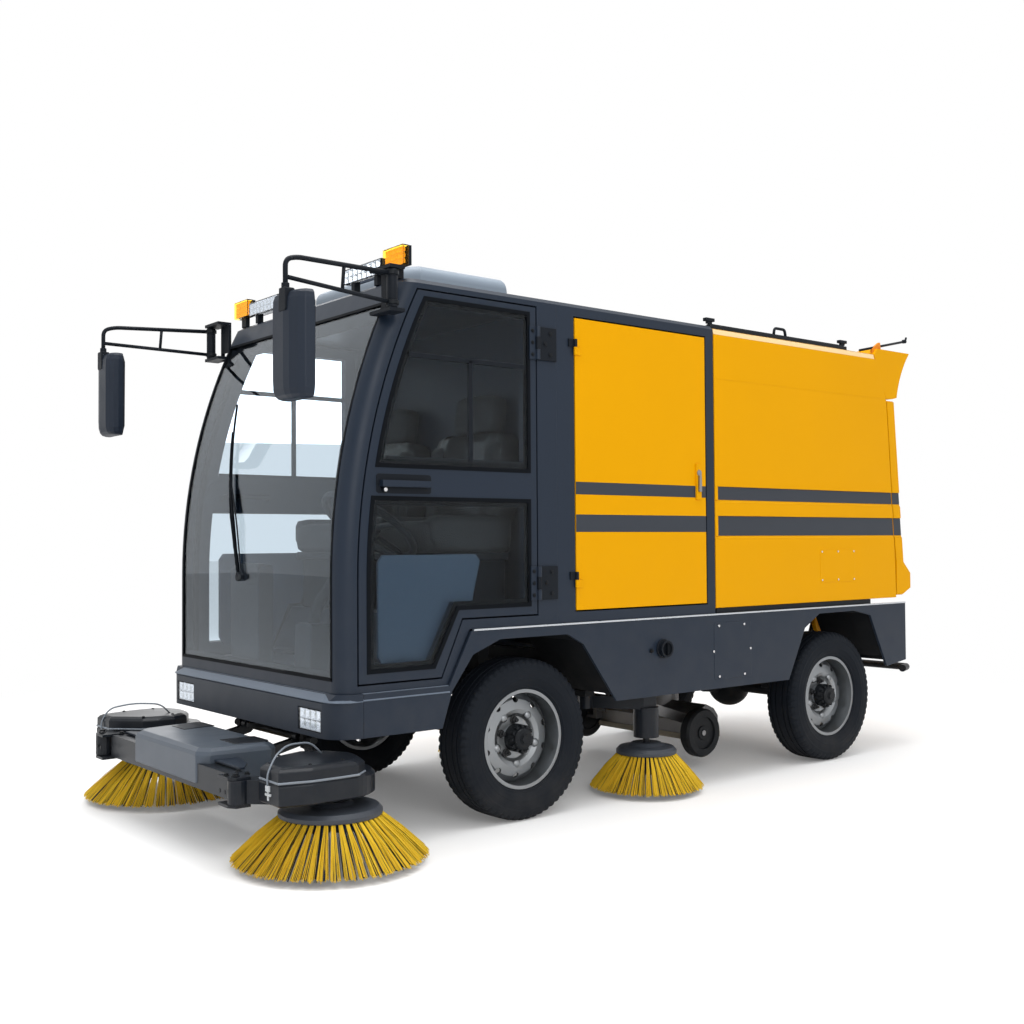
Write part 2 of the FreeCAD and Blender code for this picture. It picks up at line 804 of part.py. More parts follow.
def build_skirts():
    """Dark side skirts with the wheel arches cut in them, and the liners over the wheels."""
    fx = S.front_axle_x
    rx = S.rear_axle_x
    outline = [
        (S.skirt_rear_x, S.skirt_bottom_z + 30),
        (rx - 392, S.skirt_bottom_z + 8),
        (rx - 261, 666),
        (rx - 134, 692),
        (rx + 136, 690),
        (rx + 243, 630),
        (rx + 362, S.skirt_bottom_z),
        (fx - 430, S.skirt_bottom_z),
        (fx - 256, 638),
        (fx - 176, 678),
        (fx + 146, 678),
        (fx + 270, 630),
        (fx + 362, 509),
        (fx + 404, S.bumper_low_z),
        (S.skirt_front_x, S.bumper_low_z),
        (S.skirt_front_x, S.sill_z - 2),
        (S.door_toe_x - 22, S.sill_z - 2),
        (S.door_step_x - 30, S.ledge_z),
        (S.skirt_rear_x, S.ledge_z),
    ]
    skirt = plate("skirt", outline, "y", S.panel_half_width, S.skirt_half_width)
    node("side_skirts", both_sides("skirts", skirt))


def build_liner(name, axle_x, points):
    """A bent sheet over a wheel: points run up, over and down the arch."""
    thickness = 4
    outer = [(axle_x + a, b) for a, b in points]
    inner = [(axle_x + a * 0.985, b - thickness) for a, b in reversed(points)]
    inner[0] = (inner[0][0], outer[-1][1])
    inner[-1] = (inner[-1][0], outer[0][1])
    return plate(name, outer + inner, "y", 330, S.panel_half_width)


def build_liners():
    front = build_liner("front_liner", S.front_axle_x, [
        (-432, 430), (-258, 652), (-176, 692), (148, 692), (262, 640), (330, 560)])
    rear = build_liner("rear_liner", S.rear_axle_x, [
        (-388, 460), (-268, 676), (-134, 706), (136, 704), (248, 640), (340, 460)])
    node("wheel_arch_liners", fuse("liners", [both_sides("front_liners", front),
                                              both_sides("rear_liners", rear)]))


def build_bumper():
    """Front bumper, bevelled along its top and rounded at its corners, hollow behind."""
    def outline(inset):
        side = S.skirt_half_width - inset
        front = S.bumper_front_x - inset
        return [
            (S.skirt_front_x + 1, -side),
            Arc(front - 32, -(side - 24)),
            (front, -(side - 84)),
            (front, side - 84),
            Arc(front - 32, side - 24),
            (S.skirt_front_x + 1, side),
        ]

    block = plate("bumper_block", outline(0), "z", S.bumper_low_z, S.sill_z)
    side = [
        (S.skirt_front_x, S.bumper_low_z - 5),
        (S.bumper_front_x + 5, S.bumper_low_z - 5),
        (S.bumper_front_x + 5, S.bumper_low_z + 106),
        (S.bumper_front_x - 28, S.sill_z + 5),
        (S.skirt_front_x, S.sill_z + 5),
    ]
    bevel = plate("bumper_bevel", side, "y", -700, 700)
    outside = common("bumper_outside", block, bevel)
    hollow = plate("bumper_hollow", [
        (S.skirt_front_x - 5, -(S.skirt_half_width - S.bumper_wall)),
        (S.skirt_front_x + 40, -(S.skirt_half_width - S.bumper_wall - 14)),
        (S.bumper_front_x - 60, -(S.skirt_half_width - 100)),
        (S.bumper_front_x - 45, -(S.skirt_half_width - 120)),
        (S.bumper_front_x - 45, S.skirt_half_width - 120),
        (S.bumper_front_x - 60, S.skirt_half_width - 100),
        (S.skirt_front_x + 40, S.skirt_half_width - S.bumper_wall - 14),
        (S.skirt_front_x - 5, S.skirt_half_width - S.bumper_wall),
    ], "z", S.bumper_low_z - 5, S.sill_z - 9)
    pockets = []
    for side_sign in (-1, 1):
        pockets.append(box("lamp_pocket_%d" % (side_sign + 1), (S.bumper_front_x - 34, S.bumper_front_x + 5),
                           (side_sign * 496 - 78, side_sign * 496 + 78), (400, 477)))
    node("front_bumper", cut("front_bumper_shape", outside, [hollow] + pockets))
    lamps = []
    for side_sign in (-1, 1):
        lamps.append(box("headlamp_%d" % (side_sign + 1), (S.bumper_front_x - 33.7, S.bumper_front_x),
                         (side_sign * 496 - 77, side_sign * 496 + 77), (401, 476)))
    node("headlamps", fuse("headlamps_shape", lamps))


def build_cab():
    """Hollow cab: curved shell with door and windscreen openings, and its windscreen."""
    wall = S.cab_wall
    wide = S.panel_half_width

    def front_side_edge(a, b):
        ahead = a.x > S.cab_front_x.value - 300 and b.x > S.cab_front_x.value - 300
        side = near(abs(a.y), wide) and near(a.y, b.y)
        return side and ahead and min(a.z, b.z) >= S.sill_z.value - 1 and abs(a.z - b.z) > 200

    def roof_side_edge(a, b):
        return near(a.z, S.roof_z) and near(b.z, S.roof_z) and near(a.y, b.y, 80) and abs(a.x - b.x) > 300

    shell = plate("cab_outside", cab_outline(as_size(0)), "y", -wide, wide, rounds=[
        ("Fillet", S.corner_radius, front_side_edge),
        ("Chamfer", as_size(16), roof_side_edge)])
    inside = plate("cab_inside", cab_outline(wall), "y", -(wide - wall), wide - wall)
    screen_hole = box("screen_hole", (S.cab_front_x - 420, S.cab_front_x + 20),
                      (-S.glass_half_width, S.glass_half_width), (S.glass_low_z, S.glass_high_z))
    tools = [inside, screen_hole]
    for side in (-1, 1):
        low, high = sorted_pair(side, wide - wall - 10, wide + 10)
        tools.append(plate("door_hole_%d" % (side + 1), door_outline(as_size(0)), "y", low, high))
    node("cab_shell", cut("cab_shell_shape", shell, tools))
    # The windscreen follows the same curve just inside the cab's face
    gap = S.running_gap
    outline = front_edge(as_size(3), S.glass_low_z + gap, S.glass_high_z - gap)
    back = front_edge(S.glass_thickness + 3, S.glass_low_z + gap, S.glass_high_z - gap)
    closed = outline + [back[-1], back[-2], back[1], back[0]]
    glass = plate("windscreen_sheet", closed, "y", -(S.glass_half_width - gap), S.glass_half_width - gap)
    hole = rod("wiper_hole", (S.cab_front_x - 40, -77, 904), (S.cab_front_x + 20, -77, 904), 14 + gap)
    node("windscreen", cut("windscreen_shape", glass, [hole]))


def build_cab_doors():
    """Cab doors as thick as the wall, with two windows each, hung at their rear edge."""
    wide = S.panel_half_width
    inner = wide - S.cab_wall
    slab = plate("door_slab", door_outline(S.seam_gap), "y", inner, wide)
    upper_hole = plate("door_upper_hole", upper_window(as_size(24)), "y", inner - 5, wide + 5)
    lower_hole = plate("door_lower_hole", lower_window(as_size(24)), "y", inner - 5, wide + 5)
    recess_up = plate("door_upper_recess", upper_window(as_size(0)), "y", wide - 6, wide + 5)
    recess_low = plate("door_lower_recess", lower_window(as_size(0)), "y", wide - 6, wide + 5)
    holed = cut("door_holed", slab, [upper_hole, lower_hole, recess_up, recess_low])
    handle = box("door_handle", (1165, 1360), (wide, wide + 22), (1216, 1238))
    hinges = []
    for number, z in enumerate((874, 1767)):
        hinges.append(box("door_hinge_leaf_%d" % number, (S.door_rear_x + 13, S.door_rear_x + 40),
                          (wide, wide + 8), (z - 62, z + 62)))
        for part, (low, high) in enumerate(((-62, -24), (24, 62))):
            hinges.append(rod("door_knuckle_%d_%d" % (number, part),
                              (S.door_rear_x + 3, wide + 10, z + low), (S.door_rear_x + 3, wide + 10, z + high), 9))
            hinges.append(box("door_knuckle_web_%d_%d" % (number, part), (S.door_rear_x + 3, S.door_rear_x + 14),
                              (wide + 2, wide + 8), (z + low, z + high)))
    pair("cab_door", fuse("cab_door_shape", [holed, handle] + hinges))
    gap = S.running_gap
    glass = []
    for name, outline in (("upper", upper_window), ("lower", lower_window)):
        glass.append(plate("pane_%s" % name, outline(gap), "y", wide - 6 + gap, wide - gap))
    pair("door_glass", fuse("door_glass_shape", glass))


def build_hinge_posts():
    """The fixed leaves and pins of the cab door and bay door hinges."""
    wide = S.panel_half_width
    pieces = []
    for number, z in enumerate((874, 1767)):
        pieces.append(box("cab_leaf_%d" % number, (S.door_rear_x - 90, S.door_rear_x - 8),
                          (wide, wide + 8), (z - 62, z + 62)))
        pieces.append(rod("cab_pin_%d" % number, (S.door_rear_x + 3, wide + 10, z - 23.5),
                          (S.door_rear_x + 3, wide + 10, z + 23.5), 9))
        pieces.append(box("cab_pin_web_%d" % number, (S.door_rear_x - 12, S.door_rear_x + 3),
                          (wide + 4, wide + 12), (z - 23.5, z + 23.5)))
    for number, z in enumerate((882, 1771)):
        x = S.bay_door_front_x - 3
        pieces.append(rod("bay_pin_%d" % number, (x, wide + 8, z), (x, wide + 8, z + 30), 7))
        pieces.append(box("bay_post_%d" % number, (x, x + 31), (wide, wide + 5), (z, z + 30)))
    node("hinge_posts", both_sides("hinge_posts_pair", fuse("hinge_posts_left", pieces)))


def build_bay():
    """Hollow equipment bay behind the cab, open at both sides for its doors."""
    wall = S.bay_wall
    wide = S.panel_half_width

    def roof_side_edge(a, b):
        return near(a.z, S.roof_z) and near(b.z, S.roof_z) and near(a.y, b.y, 80) and abs(a.x - b.x) > 300

    shell = plate("bay_outside", [
        (S.bay_rear_x, S.body_floor_z),
        (S.cab_rear_x, S.body_floor_z),
        (S.cab_rear_x, S.roof_z),
        (S.bay_rear_x, S.roof_z),
    ], "y", -wide, wide, rounds=[("Chamfer", as_size(16), roof_side_edge)])
    inside = box("bay_inside", (S.bay_rear_x + wall, S.cab_rear_x - wall), (-(wide - wall), wide - wall),
                 (S.body_floor_z + wall, S.roof_z - wall))
    holes = [inside]
    for side in (-1, 1):
        holes.append(box("bay_hole_%d" % (side + 1), (S.bay_door_rear_x, S.bay_door_front_x),
                         sorted_pair(side, wide - wall - 10, wide + 10), (S.bay_door_low_z, S.bay_door_high_z)))
    node("equipment_bay", cut("equipment_bay_shape", shell, holes))
    node("battery_pack", box("battery_shape", (-200, 440), (-500, 500), (S.body_floor_z + wall, 1120)))
    gap = S.seam_gap
    door = box("bay_door_slab", (S.bay_door_rear_x + gap, S.bay_door_front_x - gap), (wide - wall, wide),
               (S.bay_door_low_z + gap, S.bay_door_high_z - gap))
    latch = box("bay_latch", (-225, -195), (wide, wide + 8), (1199, 1348))
    knuckles = []
    for number, z in enumerate((882, 1771)):
        knuckles.append(rod("bay_knuckle_%d" % number, (S.bay_door_front_x - 3, wide + 8, z - 30),
                            (S.bay_door_front_x - 3, wide + 8, z - 0.3), 7))
        knuckles.append(box("bay_leaf_%d" % number, (S.bay_door_front_x - 36, S.bay_door_front_x - gap),
                            (wide, wide + 5), (z - 30, z - 0.3)))
        knuckles.append(box("bay_leaf_web_%d" % number, (S.bay_door_front_x - 12, S.bay_door_front_x - 3),
                            (wide + 1, wide + 6), (z - 30, z - 0.3)))
    pair("bay_door", fuse("bay_door_shape", [door, latch] + knuckles))


# Hinge lines of the tailgate and the hopper's lid

TAIL_X = S.hopper_rear_x - 19
TAIL_Z = as_size(1708)
LID_Y = -(S.hopper_half_width - 16)
LID_Z = S.hopper_high_z + 11


def build_hopper():
    """Tipping waste hopper with its rear hood, lid and top-hung tailgate."""
    wide = S.hopper_half_width
    wall = S.hopper_wall
    front = S.bay_rear_x - S.moving_gap
    rear = S.hopper_rear_x
    low = S.hopper_low_z
    high = S.hopper_high_z
    seal = rear + S.tailgate_thickness
    shell = plate("hopper_outside", [
        (front, low),
        (front, high),
        (rear + 157, high),
        (rear + 130, high + 31),
        (rear - 144, high + 31),
        Arc(rear - 72, 1850),
        (rear - 31, 1730),
        (rear + 4, 1722),
        (seal + 4, 1718),
        (seal - 58, 916),
        (seal - 60, low),
    ], "y", -wide, wide)
    inside = plate("hopper_inside", [
        (front - wall, low + wall),
        (front - wall, high - wall),
        (seal + 36, high - wall),
        (seal + 36, 1690),
        (seal - 100, 1690),
        (seal - 100, low + wall),
    ], "y", -(wide - wall), wide - wall)
    lid_hole = box("lid_hole", (S.lid_rear_x + 60, front - 60), (-(wide - 90), wide - 90),
                   (high - wall - 5, high + 5))
    duct_hole = rod("duct_hole", (-650, 0, low - 5), (-650, 0, low + wall + 5), 92)
    hollow = cut("hopper_hollow", shell, [inside, lid_hole, duct_hole])
    parts = [hollow]
    for side in (-1, 1):
        lug = plate("hopper_lug_%d" % (side + 1), [
            (S.pivot_x - 40, S.pivot_z),
            Arc(S.pivot_x, S.pivot_z - 40),
            (S.pivot_x + 40, S.pivot_z),
            (S.pivot_x + 60, low),
            (S.pivot_x - 60, low),
        ], "y", *sorted_pair(side, S.spring_y + 12, S.spring_y + 34))
        hole = rod("hopper_lug_hole_%d" % (side + 1), (S.pivot_x, side * (S.spring_y), S.pivot_z),
                   (S.pivot_x, side * (S.spring_y + 60), S.pivot_z), 14 + S.running_gap)
        parts.append(cut("hopper_lug_holed_%d" % (side + 1), lug, [hole]))
        for number, y in enumerate((116, 184)):
            parts.append(box("lift_ear_%d_%d" % (side + 1, number), (S.pivot_x + 655, S.pivot_x + 705),
                             (side * y - 5, side * y + 5), (low - 70, low)))
        parts.append(box("tail_bracket_%d" % (side + 1), (TAIL_X - 9, TAIL_X + 9),
                         sorted_pair(side, 385, 415), (TAIL_Z, 1745)))
        parts.append(rod("tail_pin_%d" % (side + 1), (TAIL_X, side * 370, TAIL_Z), (TAIL_X, side * 430, TAIL_Z), 8))
    for number, x in enumerate((-500, -1100)):
        parts.append(box("lid_bracket_%d" % number, (x - 15, x + 15), (LID_Y - 7, LID_Y + 7), (high, LID_Z)))
        parts.append(rod("lid_pin_%d" % number, (x - 38, LID_Y, LID_Z), (x + 38, LID_Y, LID_Z), 5))
    node("hopper_shell", fuse("hopper_shell_shape", parts))
    door = plate("tailgate_slab", [
        (rear, 1710),
        (rear - 66, 916),
        (rear - 126, 861),
        (rear - 126, 785),
        (rear - 58, low + 12),
        (seal - 66, low + 12),
        (seal - 64, 916),
        (seal - 3, 1710),
    ], "y", -wide, wide)
    knuckles = [door]
    for side in (-1, 1):
        for number, (a, b) in enumerate(((372, 384.7), (415.3, 428))):
            span = sorted_pair(side, a, b)
            knuckles.append(cut("tail_knuckle_holed_%d_%d" % (side + 1, number), fuse(
                "tail_knuckle_%d_%d" % (side + 1, number), [
                    rod("tail_knuckle_round_%d_%d" % (side + 1, number), (TAIL_X, span[0], TAIL_Z),
                        (TAIL_X, span[1], TAIL_Z), 14),
                    box("tail_knuckle_web_%d_%d" % (side + 1, number), (TAIL_X, rear + 2), span,
                        (TAIL_Z - 14, TAIL_Z - 2)),
                ]), [rod("tail_knuckle_hole_%d_%d" % (side + 1, number), (TAIL_X, span[0] - 5, TAIL_Z),
                         (TAIL_X, span[1] + 5, TAIL_Z), 8 + S.running_gap)]))
    node("tailgate", fuse("tailgate_shape", knuckles))
    gap = S.running_gap
    lid = box("lid_plate", (S.lid_rear_x, front - 5), (-(wide - 32), wide - 14),
              (high + gap, high + gap + S.lid_thickness))
    lid_knuckles = []
    for number, x in enumerate((-500, -1100)):
        for part, (a, b) in enumerate(((-36, -15.5), (15.5, 36))):
            lid_knuckles.append(cut("lid_knuckle_holed_%d_%d" % (number, part), fuse(
                "lid_knuckle_%d_%d" % (number, part), [
                    rod("lid_knuckle_round_%d_%d" % (number, part), (x + a, LID_Y, LID_Z), (x + b, LID_Y, LID_Z), 10),
                    box("lid_knuckle_web_%d_%d" % (number, part), (x + a, x + b), (LID_Y, -(wide - 33)),
                        (LID_Z - 4, LID_Z + 6)),
                ]), [rod("lid_knuckle_hole_%d_%d" % (number, part), (x + a - 3, LID_Y, LID_Z),
                         (x + b + 3, LID_Y, LID_Z), 5 + gap)]))
    knobs = []
    for number, x in enumerate((-330, -1275)):
        knobs.append(rod("knob_stem_%d" % number, (x, wide - 30, high + 20), (x, wide - 30, high + 44), 6))
        knobs.append(rod("knob_bar_%d" % number, (x - 22, wide - 30, high + 44), (x + 22, wide - 30, high + 44), 7))
    node("hopper_lid", fuse("hopper_lid_shape", [lid] + knobs + lid_knuckles))


def build_lift():
    """Two lift cylinders under the hopper."""
    foot = (S.pivot_x + 250, as_size(430))
    head = (S.pivot_x + 680, as_size(690))
    dx = head[0] - foot[0]
    dz = head[1] - foot[1]
    length = root(dx * dx + dz * dz)

    def at(distance, y):
        return (foot[0] + dx * distance / length, y, foot[1] + dz * distance / length)

    barrels = []
    rods = []
    for side in (-1, 1):
        y = as_size(side * 150)
        eye = rod("barrel_eye_%d" % (side + 1), (foot[0], y - 20, foot[1]), (foot[0], y + 20, foot[1]), 26)
        tube = rod("barrel_tube_%d" % (side + 1), at(20, y), at(length - 110, y), 28)
        bore = rod("barrel_bore_%d" % (side + 1), at(80, y), at(length - 100, y), 16 + S.running_gap)
        hole = rod("barrel_hole_%d" % (side + 1), (foot[0], y - 30, foot[1]), (foot[0], y + 30, foot[1]),
                   14 + S.running_gap)
        whole = fuse("barrel_whole_%d" % (side + 1), [eye, tube])
        barrels.append(cut("barrel_%d" % (side + 1), whole, [bore, hole]))
        stem = rod("rod_stem_%d" % (side + 1), at(100, y), at(length, y), 16)
        end = rod("rod_eye_%d" % (side + 1), (head[0], y - 16, head[1]), (head[0], y + 16, head[1]), 22)
        rods.append(fuse("rod_%d" % (side + 1), [stem, end]))
    node("lift_barrels", fuse("lift_barrels_shape", barrels))
    node("lift_rods", fuse("lift_rods_shape", rods))


def build_roof():
    """Roof pod, work lamps and beacons."""
    def top_edge(a, b):
        return near(a.z, S.roof_z + 130) and near(b.z, S.roof_z + 130)

    pod = plate("roof_pod_shape", [
        (550, -330), (590, -375), (1000, -375), (1060, -300), (1060, 300), (1000, 375), (590, 375), (550, 330),
    ], "z", S.roof_z, S.roof_z + 130, rounds=[("Fillet", as_size(45), top_edge)])
    node("roof_pod", pod)
    lamps = []
    for side in (-1, 1):
        lamps.append(box("beacon_%d" % (side + 1), (1222, 1262), (side * 583 - 63, side * 583 + 63),
                         (1981, 2052)))
        lamps.append(box("beacon_foot_%d" % (side + 1), (1228, 1246), (side * 583 - 20, side * 583 + 20),
                         (S.roof_z, 1981)))
        lamps.append(box("light_bar_%d" % (side + 1), (1215, 1262), (side * 380 - 130, side * 380 + 130),
                         (1975, 2030)))
        lamps.append(box("light_bar_foot_%d" % (side + 1), (1225, 1250), (side * 380 - 90, side * 380 + 90),
                         (S.roof_z, 1975)))
    node("roof_lamps", fuse("roof_lamps_shape", lamps))


def build_mirrors():
    """Brackets on the cab's corners, and the mirror arms that fold on their pins."""
    x = S.mirror_pin_x
    y = S.mirror_pin_y
    gap = S.running_gap
    plates = []
    for number, z in enumerate((1800, 1945)):
        plates.append(box("mirror_bracket_%d" % number, (x - 40, x + 20), (S.panel_half_width - 60, y + 18),
                          (z, z + 12)))
    pin = rod("mirror_pin", (x, y, 1800), (x, y, 1957), 9)
    web = box("mirror_web", (x - 40, x - 28), (S.panel_half_width - 60, S.panel_half_width + 14), (1800, 1957))
    bracket = fuse("mirror_bracket_whole", plates + [pin, web])
    cutter = plate("cab_cutter", cab_outline(as_size(0)), "y", -S.panel_half_width, S.panel_half_width)
    node("mirror_brackets", both_sides("mirror_bracket_pair", cut("mirror_bracket_shape", bracket, [cutter])))
    sleeve = rod("mirror_sleeve", (x, y, 1813), (x, y, 1944), 18)
    sleeve_hole = rod("mirror_sleeve_hole", (x, y, 1800), (x, y, 1960), 9 + gap)
    corner = (1780, 766, 1880)
    arms = [
        bent_bar("mirror_arm", [(x, y, 1920), (1600, 742, 1925), (1745, 764, 1915), corner,
                                (1780, 768, 1830), (S.mirror_head_x, S.mirror_head_y, 1800)], 10),
        bent_bar("mirror_stay", [(x, y, 1830), (1640, 748, 1860), corner], 9),
        rod("mirror_strut", (1590, 741, 1922), (1600, 743, 1856), 8),
    ]
    holed = cut("mirror_arm_holed", fuse("mirror_arm_whole", [sleeve] + arms), [sleeve_hole])

    def head_edge(a, b):
        return True

    hx = S.mirror_head_x
    hy = S.mirror_head_y
    head = plate("mirror_head", [
        (hy - 85, 1500), (hy - 60, 1475), (hy + 60, 1475), (hy + 85, 1500),
        (hy + 85, 1780), (hy + 60, 1810), (hy - 60, 1810), (hy - 85, 1780),
    ], "x", hx - 34, hx + 34, rounds=[("Fillet", as_size(12), head_edge)])
    pair("mirror", fuse("mirror_shape", [holed, head]))


def build_seats():
    """Two seats, the dashboard with its column, and the steering wheel."""
    seats = []
    for side in (-1, 1):
        y = side * 300
        profile = [
            (700, 815), (1090, 830), (1110, 870), (1090, 905), (850, 900), (750, 1440), (720, 1470), (660, 1470),
            (640, 1430), (690, 900),
        ]
        seats.append(plate("seat_%d" % (side + 1), profile, "y", y - 220, y + 220))
        seats.append(box("seat_base_%d" % (side + 1), (740, 960), (y - 180, y + 180),
                         (S.body_floor_z + S.cab_wall, 820)))
    node("seats", fuse("seats_shape", seats))
    wall = S.cab_wall
    panel = plate("dash_panel", [
        (1300, S.sill_z + wall), (S.cab_front_x - wall - 2, S.sill_z + wall), (S.cab_front_x - wall - 2, 930),
        (1440, 960), (1330, 900), (1300, 820),
    ], "y", -560, 560)
    column = rod("column", (1345, 300, 870), (1205, 300, 1056.7), 22)
    node("dashboard", fuse("dashboard_shape", [panel, column]))
    wheel = DOC.addObject("Part::Torus", "wheel_rim")
    bind(wheel, "Radius1", as_size(185))
    bind(wheel, "Radius2", as_size(14))
    direct(wheel, (1180, 300, 1090), (1120, 300, 1170))
    spokes = [rod("wheel_spoke_%d" % number, (1189, 300, 1078), tip, 10) for number, tip in enumerate((
        (1180, 485, 1090), (1180, 115, 1090), (1032, 300, 979)))]
    boss = rod("wheel_boss", (1204.8, 300, 1056.9), (1178, 300, 1092.6), 45)
    node("steering_wheel", fuse("steering_wheel_shape", [wheel, boss] + spokes))


def tufts(name, x, y, disc_radius, tip_radius):
    """Bristle tufts that flare from under a brush's disc to the road."""
    pieces = []
    top = S.disc_low_z + 12
    for number in range(int(S.tuft_count.value)):
        angle = 360 / S.tuft_count * number
        c, s = cosine(angle), sine(angle)
        start = (x + (disc_radius - 16) * c, y + (disc_radius - 16) * s, top)
        end = (x + (tip_radius - 12) * c, y + (tip_radius - 12) * s, S.bristle_tip_z + 9)
        pieces.append(taper("%s_%d" % (name, number), start, end, 9, 15))
    return pieces


def build_brush(name, x, y, disc_radius, tip_radius):
    low = S.disc_low_z
    disc = turned(name + "_disc", [
        (14 + S.running_gap, low + 8),
        (disc_radius - 34, low + 8),
        (disc_radius - 30, low - 4),
        (disc_radius, low - 4),
        (disc_radius, low + 14),
        (disc_radius - 22, low + 34),
        (60, low + 40),
        (14 + S.running_gap, low + 40),
    ], (x, y, 0))
    skirt = turned(name + "_bristles", [
        (disc_radius - 22, low + 12),
        (disc_radius - 8, low + 12),
        (tip_radius, S.bristle_tip_z + 6),
        (tip_radius - 6, S.bristle_tip_z),
        (tip_radius - 40, S.bristle_tip_z + 10),
    ], (x, y, 0))
    return fuse(name + "_shape", [disc, skirt])


def build_broom():
    """Front broom: a lifting cross beam with its moulded cover, and two swinging arms."""
    px = S.broom_pin_x
    py = S.broom_pin_y
    gap = S.running_gap

    def round_edge(a, b):
        return near(a.z, 338) or near(b.z, 338) or (upright(a, b) and a.x > 1700)

    cover = plate("broom_cover", [
        (1835, -262), (1835, 262), (1780, 285), (1640, 275), (1600, 240), (1600, -240), (1640, -275), (1780, -285),
    ], "z", 235, 338, rounds=[("Fillet", as_size(22), round_edge)])
    beam = box("broom_beam", (px - 62, px - 12), (-(py - 60), py - 60), (214, 296))
    parts = [cover, beam]
    holes = [rod("broom_hole_mid", (1413, -320, 330), (1413, 320, 330), 14 + gap)]
    for side in (-1, 1):
        y = side * 200
        parts.append(plate("broom_link_%d" % (side + 1), [
            (1385, 330), Arc(1413, 358), (1441, 330), (1640, 290), (1640, 250), (1413, 302),
        ], "y", y - 14, y + 14))
        for number, z in enumerate((205, 291)):
            parts.append(plate("clevis_%d_%d" % (side + 1, number), [
                (px - 62, side * (py - 70)), (px + 26, side * (py - 70)), (px + 26, side * py),
                (px + 10, side * (py + 26)), (px - 40, side * (py + 26)),
            ], "z", z, z + 9))
        parts.append(rod("broom_pin_%d" % (side + 1), (px, side * py, 205), (px, side * py, 306), 10))
    node("broom_frame", cut("broom_frame_shape", fuse("broom_frame_whole", parts), holes))
    bx = S.front_brush_x
    by = S.front_brush_y
    arm = plate("arm_bar", [
        (px - 26, py - 26), Arc(px + 24, py + 2), (px - 26, py + 28), (bx + 150, by + 60), (bx + 120, by - 70),
    ], "z", 214.5, 290.5)
    arm_hole = rod("arm_hole", (px, py, 200), (px, py, 310), 10 + gap)

    def lid_edge(a, b):
        return near(a.z, 366) and near(b.z, 366)

    motor = plate("motor_cover", [
        (bx + 190, by + 92), (bx + 175, by - 92), (bx, by - 135), Arc(bx - 135, by), (bx, by + 135),
    ], "z", 226, 366, rounds=[("Fillet", as_size(26), lid_edge)])
    shaft = rod("motor_shaft", (bx, by, S.disc_low_z + 12), (bx, by, 240), 14)
    pair("broom_arm", cut("broom_arm_shape", fuse("broom_arm_whole", [arm, motor, shaft]), [arm_hole]))
    pair("front_brush", build_brush("front_brush", bx, by, S.front_disc_radius, S.front_brush_radius))


def build_side_brushes():
    """Brushes between the axles on short swinging arms."""
    bx = S.side_brush_x
    by = S.side_brush_y
    arm = plate("side_arm_bar", [
        (208, 362), Arc(200, 404), (170, 400), (bx + 40, by + 28), (bx - 30, by + 30), (bx - 30, by - 30),
        (bx + 30, by - 40),
    ], "z", 340, 389.5)
    pin = rod("side_arm_pin", (190, 380, 350), (190, 380, 424), 12)
    motor = rod("side_motor", (bx, by, 222), (bx, by, 345), 52)
    shaft = rod("side_shaft", (bx, by, S.disc_low_z + 12), (bx, by, 230), 14)
    pair("side_arm", fuse("side_arm_shape", [arm, pin, motor, shaft]))
    pair("side_brush", build_brush("side_brush", bx, by, S.side_disc_radius, S.side_brush_radius))


